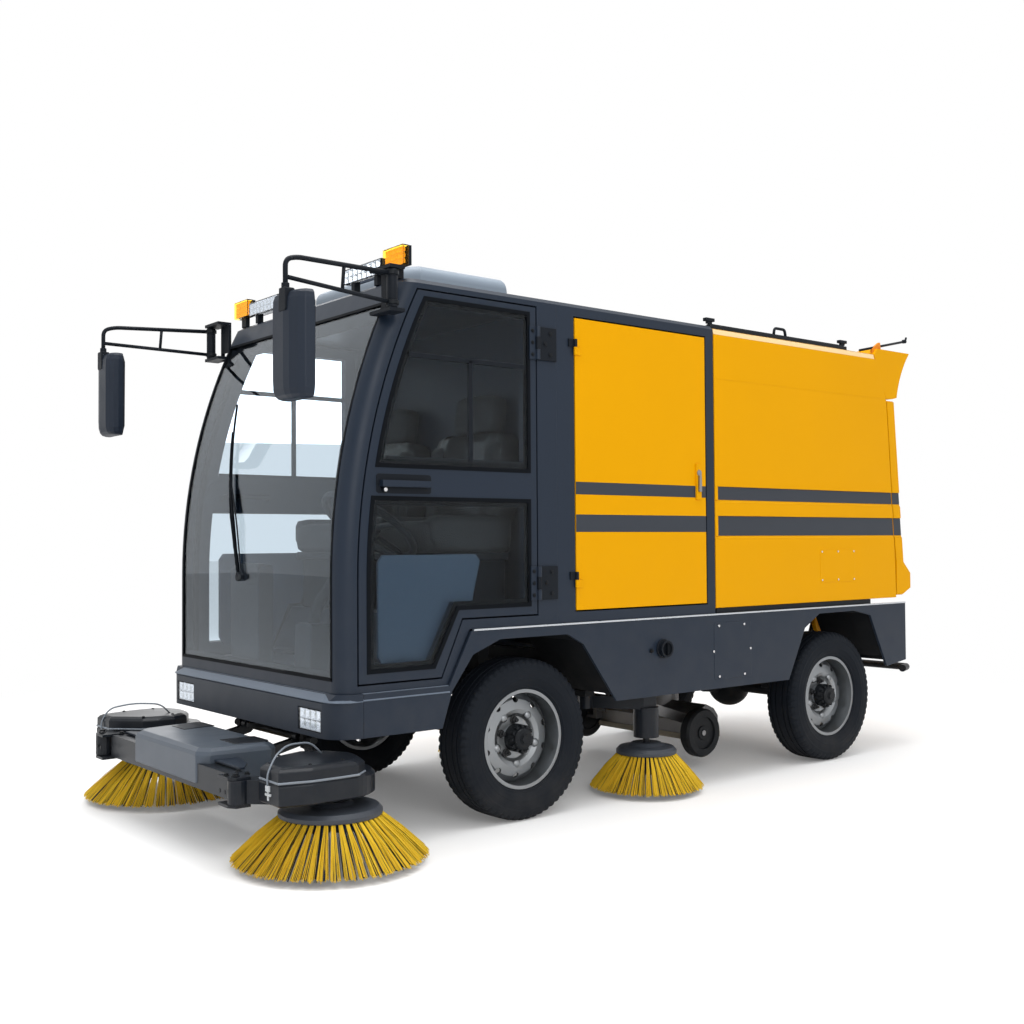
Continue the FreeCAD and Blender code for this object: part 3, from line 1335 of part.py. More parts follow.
def build_nozzle():
    """Suction mouth on trailing links, with its wheels, and the duct up to the hopper."""
    px = S.nozzle_pivot_x
    pz = S.nozzle_pivot_z
    gap = S.running_gap
    wy = S.nozzle_wheel_y
    mouth = plate("mouth_side", [
        (-718, 142), (-718, 215), (-690, 250), (-640, 272), (-600, 250), (-534, 200), (-534, 142),
    ], "y", -300, 300)
    hollow = plate("mouth_hollow", [
        (-706, 130), (-706, 210), (-685, 240), (-612, 240), (-546, 195), (-546, 130),
    ], "y", -288, 288)
    throat = rod("mouth_throat", (-650, 0, 230), (-650, 0, 300), 85)
    throat_hole = rod("mouth_throat_hole", (-650, 0, 220), (-650, 0, 310), 78)
    shell = cut("mouth_shell", fuse("mouth_whole", [mouth, throat]), [hollow, throat_hole])
    parts = [shell]
    for side in (-1, 1):
        link = plate("drag_link_%d" % (side + 1), [
            (px + 26, pz), Arc(px, pz + 26), (px - 20, pz + 18), (-560, 225), (-560, 180), (px, pz - 26),
        ], "y", *sorted_pair(side, 268, 290))
        hole = rod("drag_hole_%d" % (side + 1), (px, side * 260, pz), (px, side * 300, pz), 14 + gap)
        parts.append(cut("drag_holed_%d" % (side + 1), link, [hole]))
        parts.append(rod("wheel_stub_%d" % (side + 1), (S.nozzle_wheel_x, side * 286, S.nozzle_wheel_z),
                         (S.nozzle_wheel_x, side * (wy + 26), S.nozzle_wheel_z), 12))
        parts.append(box("stub_web_%d" % (side + 1), (-560, S.nozzle_wheel_x + 12), sorted_pair(side, 286, 310),
                         (155, 200)))
    skirt = cut("mouth_skirt", box("mouth_skirt_outer", (-724, -528), (-306, 306), (118, 142)),
                [box("mouth_skirt_inner", (-714, -538), (-296, 296), (110, 150))])
    node("suction_mouth", fuse("suction_mouth_shape", parts))
    node("mouth_skirt", skirt)
    wheel = turned("nozzle_wheel", [
        (12 + gap, -22), (70, -22), (72, -26), (S.nozzle_wheel_radius - 8, -28), (S.nozzle_wheel_radius, -18),
        (S.nozzle_wheel_radius, 18), (S.nozzle_wheel_radius - 8, 28), (72, 26), (70, 16), (30, 16), (30, 22),
        (12 + gap, 22),
    ], (S.nozzle_wheel_x, wy, S.nozzle_wheel_z), "y")
    pair("nozzle_wheel", wheel)
    duct = cut("duct_shell", fuse("duct_whole", [
        rod("duct_tube", (-650, 0, 318), (-650, 0, S.hopper_low_z - gap), 86),
        rod("duct_flange", (-650, 0, S.hopper_low_z - 12), (-650, 0, S.hopper_low_z - gap), 104),
        box("duct_plate", (-770, -500), (-240, 240), (S.rail_high_z, S.rail_high_z + 8)),
    ]), [rod("duct_bore", (-650, 0, 300), (-650, 0, 760), 78)])
    node("suction_duct", duct)


def build_small_parts():
    """Wiper, charging socket and tail lamps."""
    wiper = fuse("wiper_shape", [
        rod("wiper_pivot", (S.cab_front_x - 12, -77, 904), (S.cab_front_x + 8, -77, 904), 14),
        bent_bar("wiper_arm", [(S.cab_front_x + 6, -77, 904), (S.cab_front_x + 6, -135, 1131)], 7),
    ])
    node("wiper", wiper)
    socket = cut("socket_shape", rod("socket_body", (19, S.skirt_half_width, 593), (19, S.skirt_half_width + 26, 593), 34),
                 [rod("socket_bore", (19, S.skirt_half_width + 6, 593), (19, S.skirt_half_width + 40, 593), 26)])
    node("charging_socket", socket)
    lamps = []
    for side in (-1, 1):
        lamps.append(box("tail_lamp_%d" % (side + 1), (S.rail_rear_x - 30, S.rail_rear_x),
                         (side * 560 - 60, side * 560 + 60), (445, 515)))
    node("tail_lamps", fuse("tail_lamps_shape", lamps))


build_rails()
build_cross_members()
build_frame_brackets()
build_axles()
build_knuckles()
build_wheel("front", S.front_axle_x)
build_wheel("rear", S.rear_axle_x)
build_skirts()
build_liners()
build_bumper()
build_cab()
build_cab_doors()
build_hinge_posts()
build_bay()
build_hopper()
build_lift()
build_roof()
build_mirrors()
build_seats()
build_broom()
build_side_brushes()
build_nozzle()
build_small_parts()
DOC.recompute()

for item in DOC.Objects:
    if "Invalid" in item.State or "Error" in item.State:
        raise RuntimeError("%s failed: %s" % (item.Name, item.State))
for name, item in NODES.items():
    shape = item.Shape
    if shape.isNull() or not shape.isValid() or not shape.Solids:
        raise RuntimeError("%s has no valid solid" % name)

os.makedirs("parts", exist_ok=True)
for name, item in NODES.items():
    item.Shape.exportStep("parts/%s.step" % name)
    solids = item.Shape.Solids
    print("%-22s %2d solids %9.0f cm3" % (name, len(solids), item.Shape.Volume / 1000))
print(len(NODES), "nodes")
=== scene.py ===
# %% [markdown]
# # A small electric street sweeper truck
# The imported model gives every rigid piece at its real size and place. This lesson dresses it: it
# gives each surface a finish and adds what is too fine for the solids, such as tyre tread, bristles,
# seals, bolts and lamp lenses. Shapes are written in millimetres in the truck's own frame, where +X
# is forward, +Y is its left and +Z is up, and are turned into Blender's metres as each is made.

# %% Load the truck
import math
import random

import bmesh
import bpy
from mathutils import Matrix, Vector


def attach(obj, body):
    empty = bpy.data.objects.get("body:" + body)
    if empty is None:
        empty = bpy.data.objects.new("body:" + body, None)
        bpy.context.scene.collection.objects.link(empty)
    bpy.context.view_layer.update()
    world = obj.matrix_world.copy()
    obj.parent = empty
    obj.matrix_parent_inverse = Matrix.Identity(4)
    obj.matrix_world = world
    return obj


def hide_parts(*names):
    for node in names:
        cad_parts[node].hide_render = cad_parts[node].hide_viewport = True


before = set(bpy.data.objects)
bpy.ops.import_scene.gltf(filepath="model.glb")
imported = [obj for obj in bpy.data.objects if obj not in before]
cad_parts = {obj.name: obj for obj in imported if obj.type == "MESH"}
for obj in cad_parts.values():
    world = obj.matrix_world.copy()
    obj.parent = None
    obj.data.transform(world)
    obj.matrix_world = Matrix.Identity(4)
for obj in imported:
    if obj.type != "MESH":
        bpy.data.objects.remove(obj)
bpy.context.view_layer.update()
MM = 0.001
LEFT, RIGHT = 1, -1
SIDES = {"left": LEFT, "right": RIGHT}

# %% [markdown]
# ## The camera
# The photograph was taken from the truck's front left, a little above the middle of its height.
# Its place and lens were found by fitting known points of the truck, such as the wheel centres, so
# the render and the photograph can be laid over each other.

# %% Camera at the photograph's place
CAMERA_PLACE = Vector((3.519, 4.024, 1.029))
CAMERA_YAW = math.radians(231.033)
CAMERA_PITCH = math.radians(1.421)
CAMERA_ROLL = math.radians(-0.355)
CAMERA_LENS = 41.80
SENSOR_WIDTH = 36.0

camera_data = bpy.data.cameras.new("photograph_view")
camera_data.lens = CAMERA_LENS
camera_data.sensor_width = SENSOR_WIDTH
camera = bpy.data.objects.new("photograph_view", camera_data)
bpy.context.scene.collection.objects.link(camera)
forward = Vector((math.cos(CAMERA_YAW) * math.cos(CAMERA_PITCH),
                  math.sin(CAMERA_YAW) * math.cos(CAMERA_PITCH),
                  math.sin(CAMERA_PITCH)))
across = forward.cross(Vector((0, 0, 1))).normalized()
upward = across.cross(forward)
camera_right = math.cos(CAMERA_ROLL) * across + math.sin(CAMERA_ROLL) * upward
camera_up = -math.sin(CAMERA_ROLL) * across + math.cos(CAMERA_ROLL) * upward
camera.matrix_world = Matrix.Translation(CAMERA_PLACE) @ Matrix(
    (camera_right, camera_up, -forward)).transposed().to_4x4()
bpy.context.scene.camera = camera
print("camera looks along", [round(value, 3) for value in forward])

# %% [markdown]
# ## Mesh helpers
# Most fittings here are a profile pushed along an axis, a profile turned about an axis, or a tube
# along a line. Small helpers make them from lists of corners, and a bevel modifier gives each edge
# the small round that catches light. Every piece rides on one body of the truck. What stands on
# both sides is written once, for the left.
# %% Shapes as lists of corners and faces
AXIS_ORDER = {"x": (2, 0, 1), "y": (0, 2, 1), "z": (0, 1, 2)}
TURN_FROM_Z = {"z": Matrix.Identity(3), "x": Matrix.Rotation(math.pi / 2, 3, "Y"),
               "y": Matrix.Rotation(-math.pi / 2, 3, "X")}


def laid(outline, axis, level):
    """An outline's corners on a plane: (y, z) across x, (x, z) across y or (x, y) across z."""
    return [tuple((first, second, level)[index] for index in AXIS_ORDER[axis]) for first, second in outline]


def walls(low, high, count):
    """Four-cornered faces between two rings of corners that start at low and at high."""
    following = [*range(1, count), 0]
    return [(low + here, low + after, high + after, high + here) for here, after in enumerate(following)]


def span(start, count):
    """One face over count corners from start on."""
    return tuple(range(start, start + count))


def slab(outline, axis, low, high):
    """An outline pushed along an axis from low to high."""
    count = len(outline)
    corners = laid(outline, axis, low) + laid(outline, axis, high)
    return corners, [span(0, count), span(count, count)] + walls(0, count, count)


def block(x, y, z):
    """A box between two planes on each axis."""
    return slab([(x[0], y[0]), (x[1], y[0]), (x[1], y[1]), (x[0], y[1])], "z", *z)


def ring(outer, inner, axis, low, high):
    """A flat frame between two outlines with as many corners each."""
    count = len(outer)
    corners = []
    for level in (low, high):
        corners += laid(outer, axis, level) + laid(inner, axis, level)
    return corners, (walls(0, count, count) + walls(2 * count, 3 * count, count) + walls(0, 2 * count, count)
                     + walls(count, 3 * count, count))


def turned(profile, centre, axis="z", steps=32):
    """A closed profile of (radius, height) corners turned about an axis through a centre."""
    corners, faces = [], []
    count = len(profile)
    for step in range(steps):
        angle = 2 * math.pi * step / steps
        for radius, height in profile:
            point = Vector((radius * math.cos(angle), radius * math.sin(angle), height))
            corners.append(tuple(TURN_FROM_Z[axis] @ point + Vector(centre)))
        faces += walls(step * count, (step + 1) % steps * count, count)
    return corners, faces


def disc(radius, low, high, centre, axis="z", steps=24):
    """A round plug with its ends closed."""
    corners, _ = turned([(radius, low), (radius, high)], centre, axis, steps)
    count = len(corners)
    sides = [(start, start + 1, (start + 3) % count, (start + 2) % count) for start in range(0, count, 2)]
    return corners, sides + [tuple(range(0, count, 2)), tuple(range(1, count, 2))]


def hexagon(radius, low, high, centre, axis="z"):
    return disc(radius, low, high, centre, axis, steps=6)


def stepped(levels):
    """A closed stack of outlines with as many corners each, from the lowest level to the highest."""
    count = len(levels[0][1])
    corners = [(first, second, height) for height, outline in levels for first, second in outline]
    faces = []
    for step in range(len(levels) - 1):
        faces += walls(step * count, (step + 1) * count, count)
    return corners, faces + [span(0, count), span(len(corners) - count, count)]


def swept(points, radius, steps=8):
    """A round tube that follows points, with its corners mitred."""
    path = [Vector(point) for point in points]
    side = (path[1] - path[0]).orthogonal()
    corners = []
    for index, point in enumerate(path):
        along = (path[min(index + 1, len(path) - 1)] - path[max(index - 1, 0)]).normalized()
        side = (side - along * side.dot(along)).normalized()
        other = along.cross(side)
        for step in range(steps):
            angle = 2 * math.pi * step / steps
            corners.append(tuple(point + radius * (math.cos(angle) * side + math.sin(angle) * other)))
    faces = [span(0, steps), span(len(corners) - steps, steps)]
    for index in range(len(path) - 1):
        faces += walls(index * steps, (index + 1) * steps, steps)
    return corners, faces


def changed(shape, matrix):
    """The shape moved or turned by a matrix."""
    corners, faces = shape
    return [tuple(matrix @ Vector(corner)) for corner in corners], faces


def spun(shape, centre, axis, angle):
    """The shape turned about an axis through a centre."""
    there = Matrix.Translation(centre)
    return changed(shape, there @ Matrix.Rotation(angle, 4, axis) @ there.inverted())


def on_side(shape, side):
    """The shape as written on the truck's left side, or its mirror image on the right."""
    return shape if side == LEFT else changed(shape, Matrix.Scale(-1, 4, (0, 1, 0)))


def together(shapes):
    """Several shapes as one."""
    corners, faces = [], []
    for more_corners, more_faces in shapes:
        start = len(corners)
        corners += more_corners
        faces += [tuple(start + index for index in face) for face in more_faces]
    return corners, faces


def both_sides(shapes):
    """Shapes written on the truck's left side, together with their mirror images."""
    left = together(shapes)
    return together([left, on_side(left, RIGHT)])


def around(middle, half):
    return middle - half, middle + half


def rounded_path(points, bend, steps=6):
    """A line through points with each inner corner replaced by a curve."""
    path = [Vector(points[0])]
    for before, here, after in zip(points, points[1:], points[2:]):
        here = Vector(here)
        into = here - Vector(before)
        out = Vector(after) - here
        reach = min(bend, into.length / 2, out.length / 2)
        first = here - into.normalized() * reach
        last = here + out.normalized() * reach
        for share in [step / steps for step in range(steps + 1)]:
            path.append((1 - share) ** 2 * first + 2 * share * (1 - share) * here + share ** 2 * last)
    return path + [Vector(points[-1])]


def bowed(start, middle, end, steps=12):
    """Points on the circle through three points, without the first."""
    (ax, ay), (bx, by), (cx, cy) = start, middle, end
    a2, b2, c2 = ax * ax + ay * ay, bx * bx + by * by, cx * cx + cy * cy
    double = 2 * (ax * (by - cy) + bx * (cy - ay) + cx * (ay - by))
    ux = (a2 * (by - cy) + b2 * (cy - ay) + c2 * (ay - by)) / double
    uy = (a2 * (cx - bx) + b2 * (ax - cx) + c2 * (bx - ax)) / double
    radius = math.hypot(ax - ux, ay - uy)
    first = math.atan2(ay - uy, ax - ux)
    mid = (math.atan2(by - uy, bx - ux) - first) % (2 * math.pi)
    last = (math.atan2(cy - uy, cx - ux) - first) % (2 * math.pi)
    sweep = last if mid < last else last - 2 * math.pi
    angles = [first + sweep * step / steps for step in range(1, steps + 1)]
    return [(ux + radius * math.cos(angle), uy + radius * math.sin(angle)) for angle in angles]


# %% Make a piece from a shape
SHARP_ANGLE = math.radians(35)


def fit(name, shape, body, slot, finish, smooth=False, bevel=0.0, segments=2, instead_of=None):
    """A named piece of the truck, from sizes in millimetres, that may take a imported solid's place."""
    corners, faces = changed(shape, Matrix.Scale(MM, 4))
    mesh = bpy.data.meshes.new(name)
    mesh.from_pydata(corners, [], faces)
    builder = bmesh.new()
    builder.from_mesh(mesh)
    bmesh.ops.recalc_face_normals(builder, faces=builder.faces)
    builder.to_mesh(mesh)
    builder.free()
    mesh.materials.append(finish)
    item = bpy.data.objects.new(name, mesh)
    bpy.context.scene.collection.objects.link(item)
    if smooth:
        mesh.shade_smooth()
    if bevel > 0:
        rounding = item.modifiers.new("rounded_edges", "BEVEL")
        rounding.width = bevel * MM
        rounding.segments = segments
        rounding.limit_method = "ANGLE"
        rounding.angle_limit = SHARP_ANGLE
    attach(item, body)
    if instead_of:
        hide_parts(instead_of)
    return item


def pair(name, shape, body, slot, finish, instead_of="", **how):
    """A piece on each side: {side} in a body's or a solid's name stands for left, and {s} for l."""
    return [fit(f"{name}_{word}", on_side(shape, side), body.format(side=word, s=word[0]), slot, finish,
                instead_of=instead_of.format(side=word), **how) for word, side in SIDES.items()]

# %% [markdown]
# ## A plain studio
# A pale floor, an even pale surround and three large soft lamps show a paint colour about as it is
# written. The surround looks white to the camera and in reflections, but it lights the truck at a
# lower level, so the background can be white without washing out the paint.

# %% Place nodes
def placed(tree, kind, values=(), **settings):
    """A shader node with its settings. Each input is given a plain value or another node's socket."""
    node = tree.nodes.new(kind)
    for label, setting in settings.items():
        setattr(node, label, setting)
    for label, value in dict(values).items():
        if isinstance(value, bpy.types.NodeSocket):
            tree.links.new(value, node.inputs[label])
        else:
            node.inputs[label].default_value = value
    return node


def worked_out(tree, operation, first, second):
    """The result of a Math node on two sockets or plain numbers."""
    return placed(tree, "ShaderNodeMath", {0: first, 1: second}, operation=operation).outputs[0]


def spread(tree, source, from_low, from_high, to_low, to_high):
    """A socket's values taken from one span of numbers to another."""
    return placed(tree, "ShaderNodeMapRange", {"Value": source, "From Min": from_low, "From Max": from_high,
                                               "To Min": to_low, "To Max": to_high}).outputs["Result"]


# %% Surround
LIGHT_BELOW, LIGHT_ABOVE = 0.42, 1.0
SKY_LOW, SKY_HIGH = -0.1, 0.9

world = bpy.data.worlds.new("studio")
bpy.context.scene.world = world
world.use_nodes = True
surround = world.node_tree
rays = placed(surround, "ShaderNodeLightPath").outputs
seen = worked_out(surround, "MAXIMUM", rays["Is Camera Ray"], rays["Is Glossy Ray"])
seen_through = worked_out(surround, "MAXIMUM", seen, rays["Is Transmission Ray"])
sky_place = placed(surround, "ShaderNodeTexCoord").outputs["Generated"]
sky_height = placed(surround, "ShaderNodeSeparateXYZ", {0: sky_place}).outputs["Z"]
sky = spread(surround, sky_height, SKY_LOW, SKY_HIGH, LIGHT_BELOW, LIGHT_ABOVE)
level = spread(surround, seen_through, 0.0, 1.0, sky, 1.0)
backdrop = surround.nodes["Background"]
backdrop.inputs["Color"].default_value = (1.0, 1.0, 1.0, 1.0)
surround.links.new(level, backdrop.inputs["Strength"])

# %% Floor
FLOOR_REACH = 60.0
FLOOR_COLOUR = (0.86, 0.86, 0.86, 1.0)
FLOOR_LIFT = 0.12
WHITE_NEAR, WHITE_FAR = 2.6, 4.6


def floor_finish():
    """A matt pale floor that keeps the truck's shadow and fades to white away from the truck."""
    material = bpy.data.materials.new("studio_floor")
    material.use_nodes = True
    tree = material.node_tree
    tree.nodes.remove(tree.nodes["Principled BSDF"])
    matt = placed(tree, "ShaderNodeBsdfDiffuse", {"Color": FLOOR_COLOUR}).outputs[0]
    lift = placed(tree, "ShaderNodeEmission", {"Strength": FLOOR_LIFT}).outputs[0]
    both = placed(tree, "ShaderNodeAddShader", {0: matt, 1: lift}).outputs[0]
    white = placed(tree, "ShaderNodeEmission").outputs[0]
    place = placed(tree, "ShaderNodeTexCoord").outputs["Object"]
    distance = placed(tree, "ShaderNodeVectorMath", {0: place}, operation="LENGTH").outputs["Value"]
    fade = placed(tree, "ShaderNodeMapRange", interpolation_type="SMOOTHSTEP",
                  values={"Value": distance, "From Min": WHITE_NEAR, "From Max": WHITE_FAR})
    shown = placed(tree, "ShaderNodeMixShader", {"Fac": fade.outputs["Result"], 1: both, 2: white}).outputs[0]
    to_camera = placed(tree, "ShaderNodeLightPath").outputs["Is Camera Ray"]
    choice = placed(tree, "ShaderNodeMixShader", {"Fac": to_camera, 1: matt, 2: shown})
    tree.links.new(choice.outputs[0], tree.nodes["Material Output"].inputs["Surface"])
    return material


floor_mesh = bpy.data.meshes.new("floor")
floor_mesh.from_pydata([(-FLOOR_REACH, -FLOOR_REACH, 0), (FLOOR_REACH, -FLOOR_REACH, 0),
                        (FLOOR_REACH, FLOOR_REACH, 0), (-FLOOR_REACH, FLOOR_REACH, 0)], [], [(0, 1, 2, 3)])
floor_mesh.materials.append(floor_finish())
floor = bpy.data.objects.new("floor", floor_mesh)
bpy.context.scene.collection.objects.link(floor)

# %% Lamps
LAMP_TARGET = Vector((0, 0, 1))


def soft_lamp(name, place, size, power):
    """A square soft box that faces the truck's middle."""
    data = bpy.data.lights.new(name, "AREA")
    data.shape = "SQUARE"
    data.size = size
    data.energy = power
    lamp = bpy.data.objects.new(name, data)
    lamp.location = place
    lamp.rotation_euler = (LAMP_TARGET - Vector(place)).to_track_quat("-Z", "Y").to_euler()
    bpy.context.scene.collection.objects.link(lamp)


soft_lamp("top_box", (0.5, 0.5, 7.0), 5.0, 330)
soft_lamp("left_box", (3.5, 7.0, 4.0), 4.0, 150)
soft_lamp("right_box", (-3.0, -7.0, 4.0), 4.0, 110)
bpy.context.scene.view_settings.view_transform = "Standard"
print("studio ready, surround lights from", LIGHT_BELOW, "to", LIGHT_ABOVE)

# %% [markdown]
# ## Effects shared by many finishes
# Sprayed paint is never one flat colour: it has a fine orange-peel skin and slow changes of tone, and
# low panels of a sweeper carry a thin film of road dust. Moulded plastic has a fine leather-like
# grain. Each of these is a node group, made once and placed in each material with its own values.
# The groups put out only colours, masks, heights and normals, and the shader stays in the material.

# %% Start a node group
SOCKETS = {"colour": "NodeSocketColor", "value": "NodeSocketFloat", "normal": "NodeSocketVector"}


def new_group(name, inputs, outputs):
    """An empty shader group with named sockets, the sockets given to it, and its end node."""
    tree = bpy.data.node_groups.new(name, "ShaderNodeTree")
    for label, kind, value in inputs:
        socket = tree.interface.new_socket(label, in_out="INPUT", socket_type=SOCKETS[kind])
        socket.default_value = value
    for label, kind in outputs:
        tree.interface.new_socket(label, in_out="OUTPUT", socket_type=SOCKETS[kind])
    return tree, placed(tree, "NodeGroupInput").outputs, tree.nodes.new("NodeGroupOutput")


def put_out(tree, result, **sockets):
    """Join sockets to the group's outputs, and give back the group."""
    for label, socket in sockets.items():
        tree.links.new(socket, result.inputs[label])
    return tree


def own_place(tree):
    """The truck's own coordinates, so that a pattern moves with its piece."""
    return placed(tree, "ShaderNodeTexCoord").outputs["Object"]


def noise(tree, scale, detail):
    return placed(tree, "ShaderNodeTexNoise", {"Vector": own_place(tree), "Scale": scale, "Detail": detail}
                  ).outputs["Fac"]


def swing(tree, scale, detail, amount):
    """Noise about zero, times an amount."""
    centred = worked_out(tree, "SUBTRACT", noise(tree, scale, detail), 0.5)
    return worked_out(tree, "MULTIPLY", centred, amount)


def blend_colour(tree, share, first, second):
    """A Mix node for colours, whose colour inputs are its seventh and eighth."""
    return placed(tree, "ShaderNodeMix", {0: share, 6: first, 7: second}, data_type="RGBA").outputs[2]


def rounded_normal(tree, radius):
    return placed(tree, "ShaderNodeBevel", {"Radius": radius}, samples=4).outputs["Normal"]


# %% Sprayed skin: slow changes of tone and a fine orange peel
ROUGHNESS_SWING = 0.16


def make_sprayed_skin():
    tree, given, result = new_group(
        "sprayed_skin",
        [("Colour", "colour", (0.5, 0.5, 0.5, 1)), ("Mottle", "value", 0.06), ("Peel Scale", "value", 420.0),
         ("Base Roughness", "value", 0.35)],
        [("Colour", "colour"), ("Roughness", "value"), ("Height", "value")])
    toned = placed(tree, "ShaderNodeVectorMath", operation="SCALE")
    tree.links.new(given["Colour"], toned.inputs[0])
    tone = worked_out(tree, "ADD", swing(tree, 2.3, 3.0, given["Mottle"]), 1.0)
    tree.links.new(tone, toned.inputs["Scale"])
    cloudy = swing(tree, 9.0, 4.0, ROUGHNESS_SWING)
    return put_out(tree, result, Colour=toned.outputs[0],
                   Roughness=worked_out(tree, "ADD", given["Base Roughness"], cloudy),
                   Height=noise(tree, given["Peel Scale"], 1.0))


SPRAYED_SKIN = make_sprayed_skin()


# %% Road film: pale dust that thickens towards the ground
def make_road_film():
    tree, given, result = new_group(
        "road_film",
        [("Colour", "colour", (0.5, 0.5, 0.5, 1)), ("Dust", "colour", (0.30, 0.27, 0.23, 1)),
         ("Top", "value", 0.6), ("Amount", "value", 0.25), ("Roughness", "value", 0.4)],
        [("Colour", "colour"), ("Roughness", "value"), ("Mask", "value")])
    height = placed(tree, "ShaderNodeSeparateXYZ", {0: own_place(tree)}).outputs["Z"]
    low = spread(tree, height, given["Top"], 0.0, 0.0, 1.0)
    patchy = spread(tree, noise(tree, 14.0, 6.0), 0.35, 0.7, 0.25, 1.0)
    mask = worked_out(tree, "MULTIPLY", worked_out(tree, "MULTIPLY", low, patchy), given["Amount"])
    rougher = worked_out(tree, "ADD", given["Roughness"], worked_out(tree, "MULTIPLY", mask, 0.5))
    dusty = blend_colour(tree, mask, given["Colour"], given["Dust"])
    return put_out(tree, result, Colour=dusty, Roughness=rougher, Mask=mask)


ROAD_FILM = make_road_film()


# %% Moulded grain: the fine pebbled skin of black plastic
def make_moulded_grain():
    tree, given, result = new_group(
        "moulded_grain", [("Scale", "value", 900.0), ("Base Roughness", "value", 0.5)],
        [("Height", "value"), ("Roughness", "value")])
    pebbles = placed(tree, "ShaderNodeTexVoronoi", {"Vector": own_place(tree), "Scale": given["Scale"]})
    worn = spread(tree, noise(tree, 6.0, 3.0), 0.3, 0.7, -0.06, 0.08)
    return put_out(tree, result, Height=pebbles.outputs["Distance"],
                   Roughness=worked_out(tree, "ADD", given["Base Roughness"], worn))


MOULDED_GRAIN = make_moulded_grain()


# %% Soft edge: a small round on each sharp edge, for light to catch
def make_soft_edge():
    tree, given, result = new_group("soft_edge", [("Radius", "value", 0.003)], [("Normal", "normal")])
    return put_out(tree, result, Normal=rounded_normal(tree, given["Radius"]))


SOFT_EDGE = make_soft_edge()


# %% Rubbed edge: where paint or plastic has worn thin on corners
def make_rubbed_edge():
    tree, given, result = new_group(
        "rubbed_edge", [("Radius", "value", 0.004), ("Amount", "value", 0.5)], [("Mask", "value")])
    true_normal = placed(tree, "ShaderNodeNewGeometry").outputs["Normal"]
    agree = placed(tree, "ShaderNodeVectorMath", {0: rounded_normal(tree, given["Radius"]), 1: true_normal},
                   operation="DOT_PRODUCT")
    edge = spread(tree, agree.outputs["Value"], 0.995, 0.86, 0.0, 1.0)
    broken = spread(tree, noise(tree, 60.0, 5.0), 0.4, 0.65, 0.0, 1.0)
    mask = worked_out(tree, "MULTIPLY", worked_out(tree, "MULTIPLY", edge, broken), given["Amount"])
    return put_out(tree, result, Mask=mask)


RUBBED_EDGE = make_rubbed_edge()
print("groups:", [tree.name for tree in bpy.data.node_groups])

# %% [markdown]
# ## Finishes
# Each finish is one Principled shader fed by the groups above. A colour is written as it looks in
# the photograph, a little darker where the surface also mirrors the pale surround.

# %% Build a finish
COAT_ROUGHNESS = 0.05
PRIMER = (0.35, 0.35, 0.36, 1)


def new_finish(name, roughness=0.5, metallic=0.0, specular=0.5, coat=0.0):
    material = bpy.data.materials.new(name)
    material.use_nodes = True
    shader = material.node_tree.nodes["Principled BSDF"]
    shader.inputs["Roughness"].default_value = roughness
    shader.inputs["Metallic"].default_value = metallic
    shader.inputs["Specular IOR Level"].default_value = specular
    shader.inputs["Coat Weight"].default_value = coat
    shader.inputs["Coat Roughness"].default_value = COAT_ROUGHNESS
    return material, material.node_tree, shader


def put_group(tree, group, **values):
    """Place a group in a material: each value is a plain number, a colour or another node's socket."""
    named = {label.replace("_", " "): value for label, value in values.items()}
    return placed(tree, "ShaderNodeGroup", named, node_tree=group).outputs


def cover(tree, shader, skin, shown, top, film, edge, depth, strength):
    """Join the shader to the shown colour under its dust, to the skin's ripple and to soft edges."""
    dust = put_group(tree, ROAD_FILM, Colour=shown, Top=top, Amount=film, Roughness=skin["Roughness"])
    tree.links.new(dust["Colour"], shader.inputs["Base Color"])
    tree.links.new(dust["Roughness"], shader.inputs["Roughness"])
    soft = put_group(tree, SOFT_EDGE, Radius=edge)
    bump = placed(tree, "ShaderNodeBump", {"Strength": strength, "Distance": depth, "Height": skin["Height"],
                                           "Normal": soft["Normal"]})
    tree.links.new(bump.outputs["Normal"], shader.inputs["Normal"])


def rubbed_through(tree, shown, rubbed, under):
    """The shown colour, or what lies under it where edges are rubbed."""
    if rubbed <= 0:
        return shown
    return blend_colour(tree, put_group(tree, RUBBED_EDGE, Amount=rubbed)["Mask"], shown, under)


def painted(name, colour, roughness=0.35, mottle=0.06, film_top=0.9, film=0.12, specular=0.35, rubbed=0.0):
    """Sprayed paint on sheet metal, with soft edges and a film of dust low down."""
    material, tree, shader = new_finish(name, roughness, 0.0, specular)
    skin = put_group(tree, SPRAYED_SKIN, Colour=(*colour, 1), Mottle=mottle, Base_Roughness=roughness)
    shown = rubbed_through(tree, skin["Colour"], rubbed, PRIMER)
    cover(tree, shader, skin, shown, film_top, film, edge=0.0025, depth=0.00012, strength=0.25)
    return material


def moulded(name, colour, roughness=0.5, grain=900.0, depth=0.0002, film_top=0.5, film=0.2, specular=0.4):
    """Moulded plastic or rubber with a pebbled grain."""
    material, tree, shader = new_finish(name, roughness, 0.0, specular)
    skin = put_group(tree, MOULDED_GRAIN, Scale=grain, Base_Roughness=roughness)
    shown = put_group(tree, SPRAYED_SKIN, Colour=(*colour, 1), Mottle=0.12)["Colour"]
    cover(tree, shader, skin, shown, film_top, film, edge=0.002, depth=depth, strength=0.5)
    return material


def bare_metal(name, colour, roughness=0.3, film=0.0):
    """Metal or metallic paint, faintly brushed, with dust where it is low."""
    material, tree, shader = new_finish(name, roughness, 1.0)
    skin = put_group(tree, SPRAYED_SKIN, Colour=(*colour, 1), Mottle=0.1, Peel_Scale=260.0,
                     Base_Roughness=roughness)
    cover(tree, shader, skin, skin["Colour"], 0.7, film, edge=0.0015, depth=0.00008, strength=0.3)
    return material


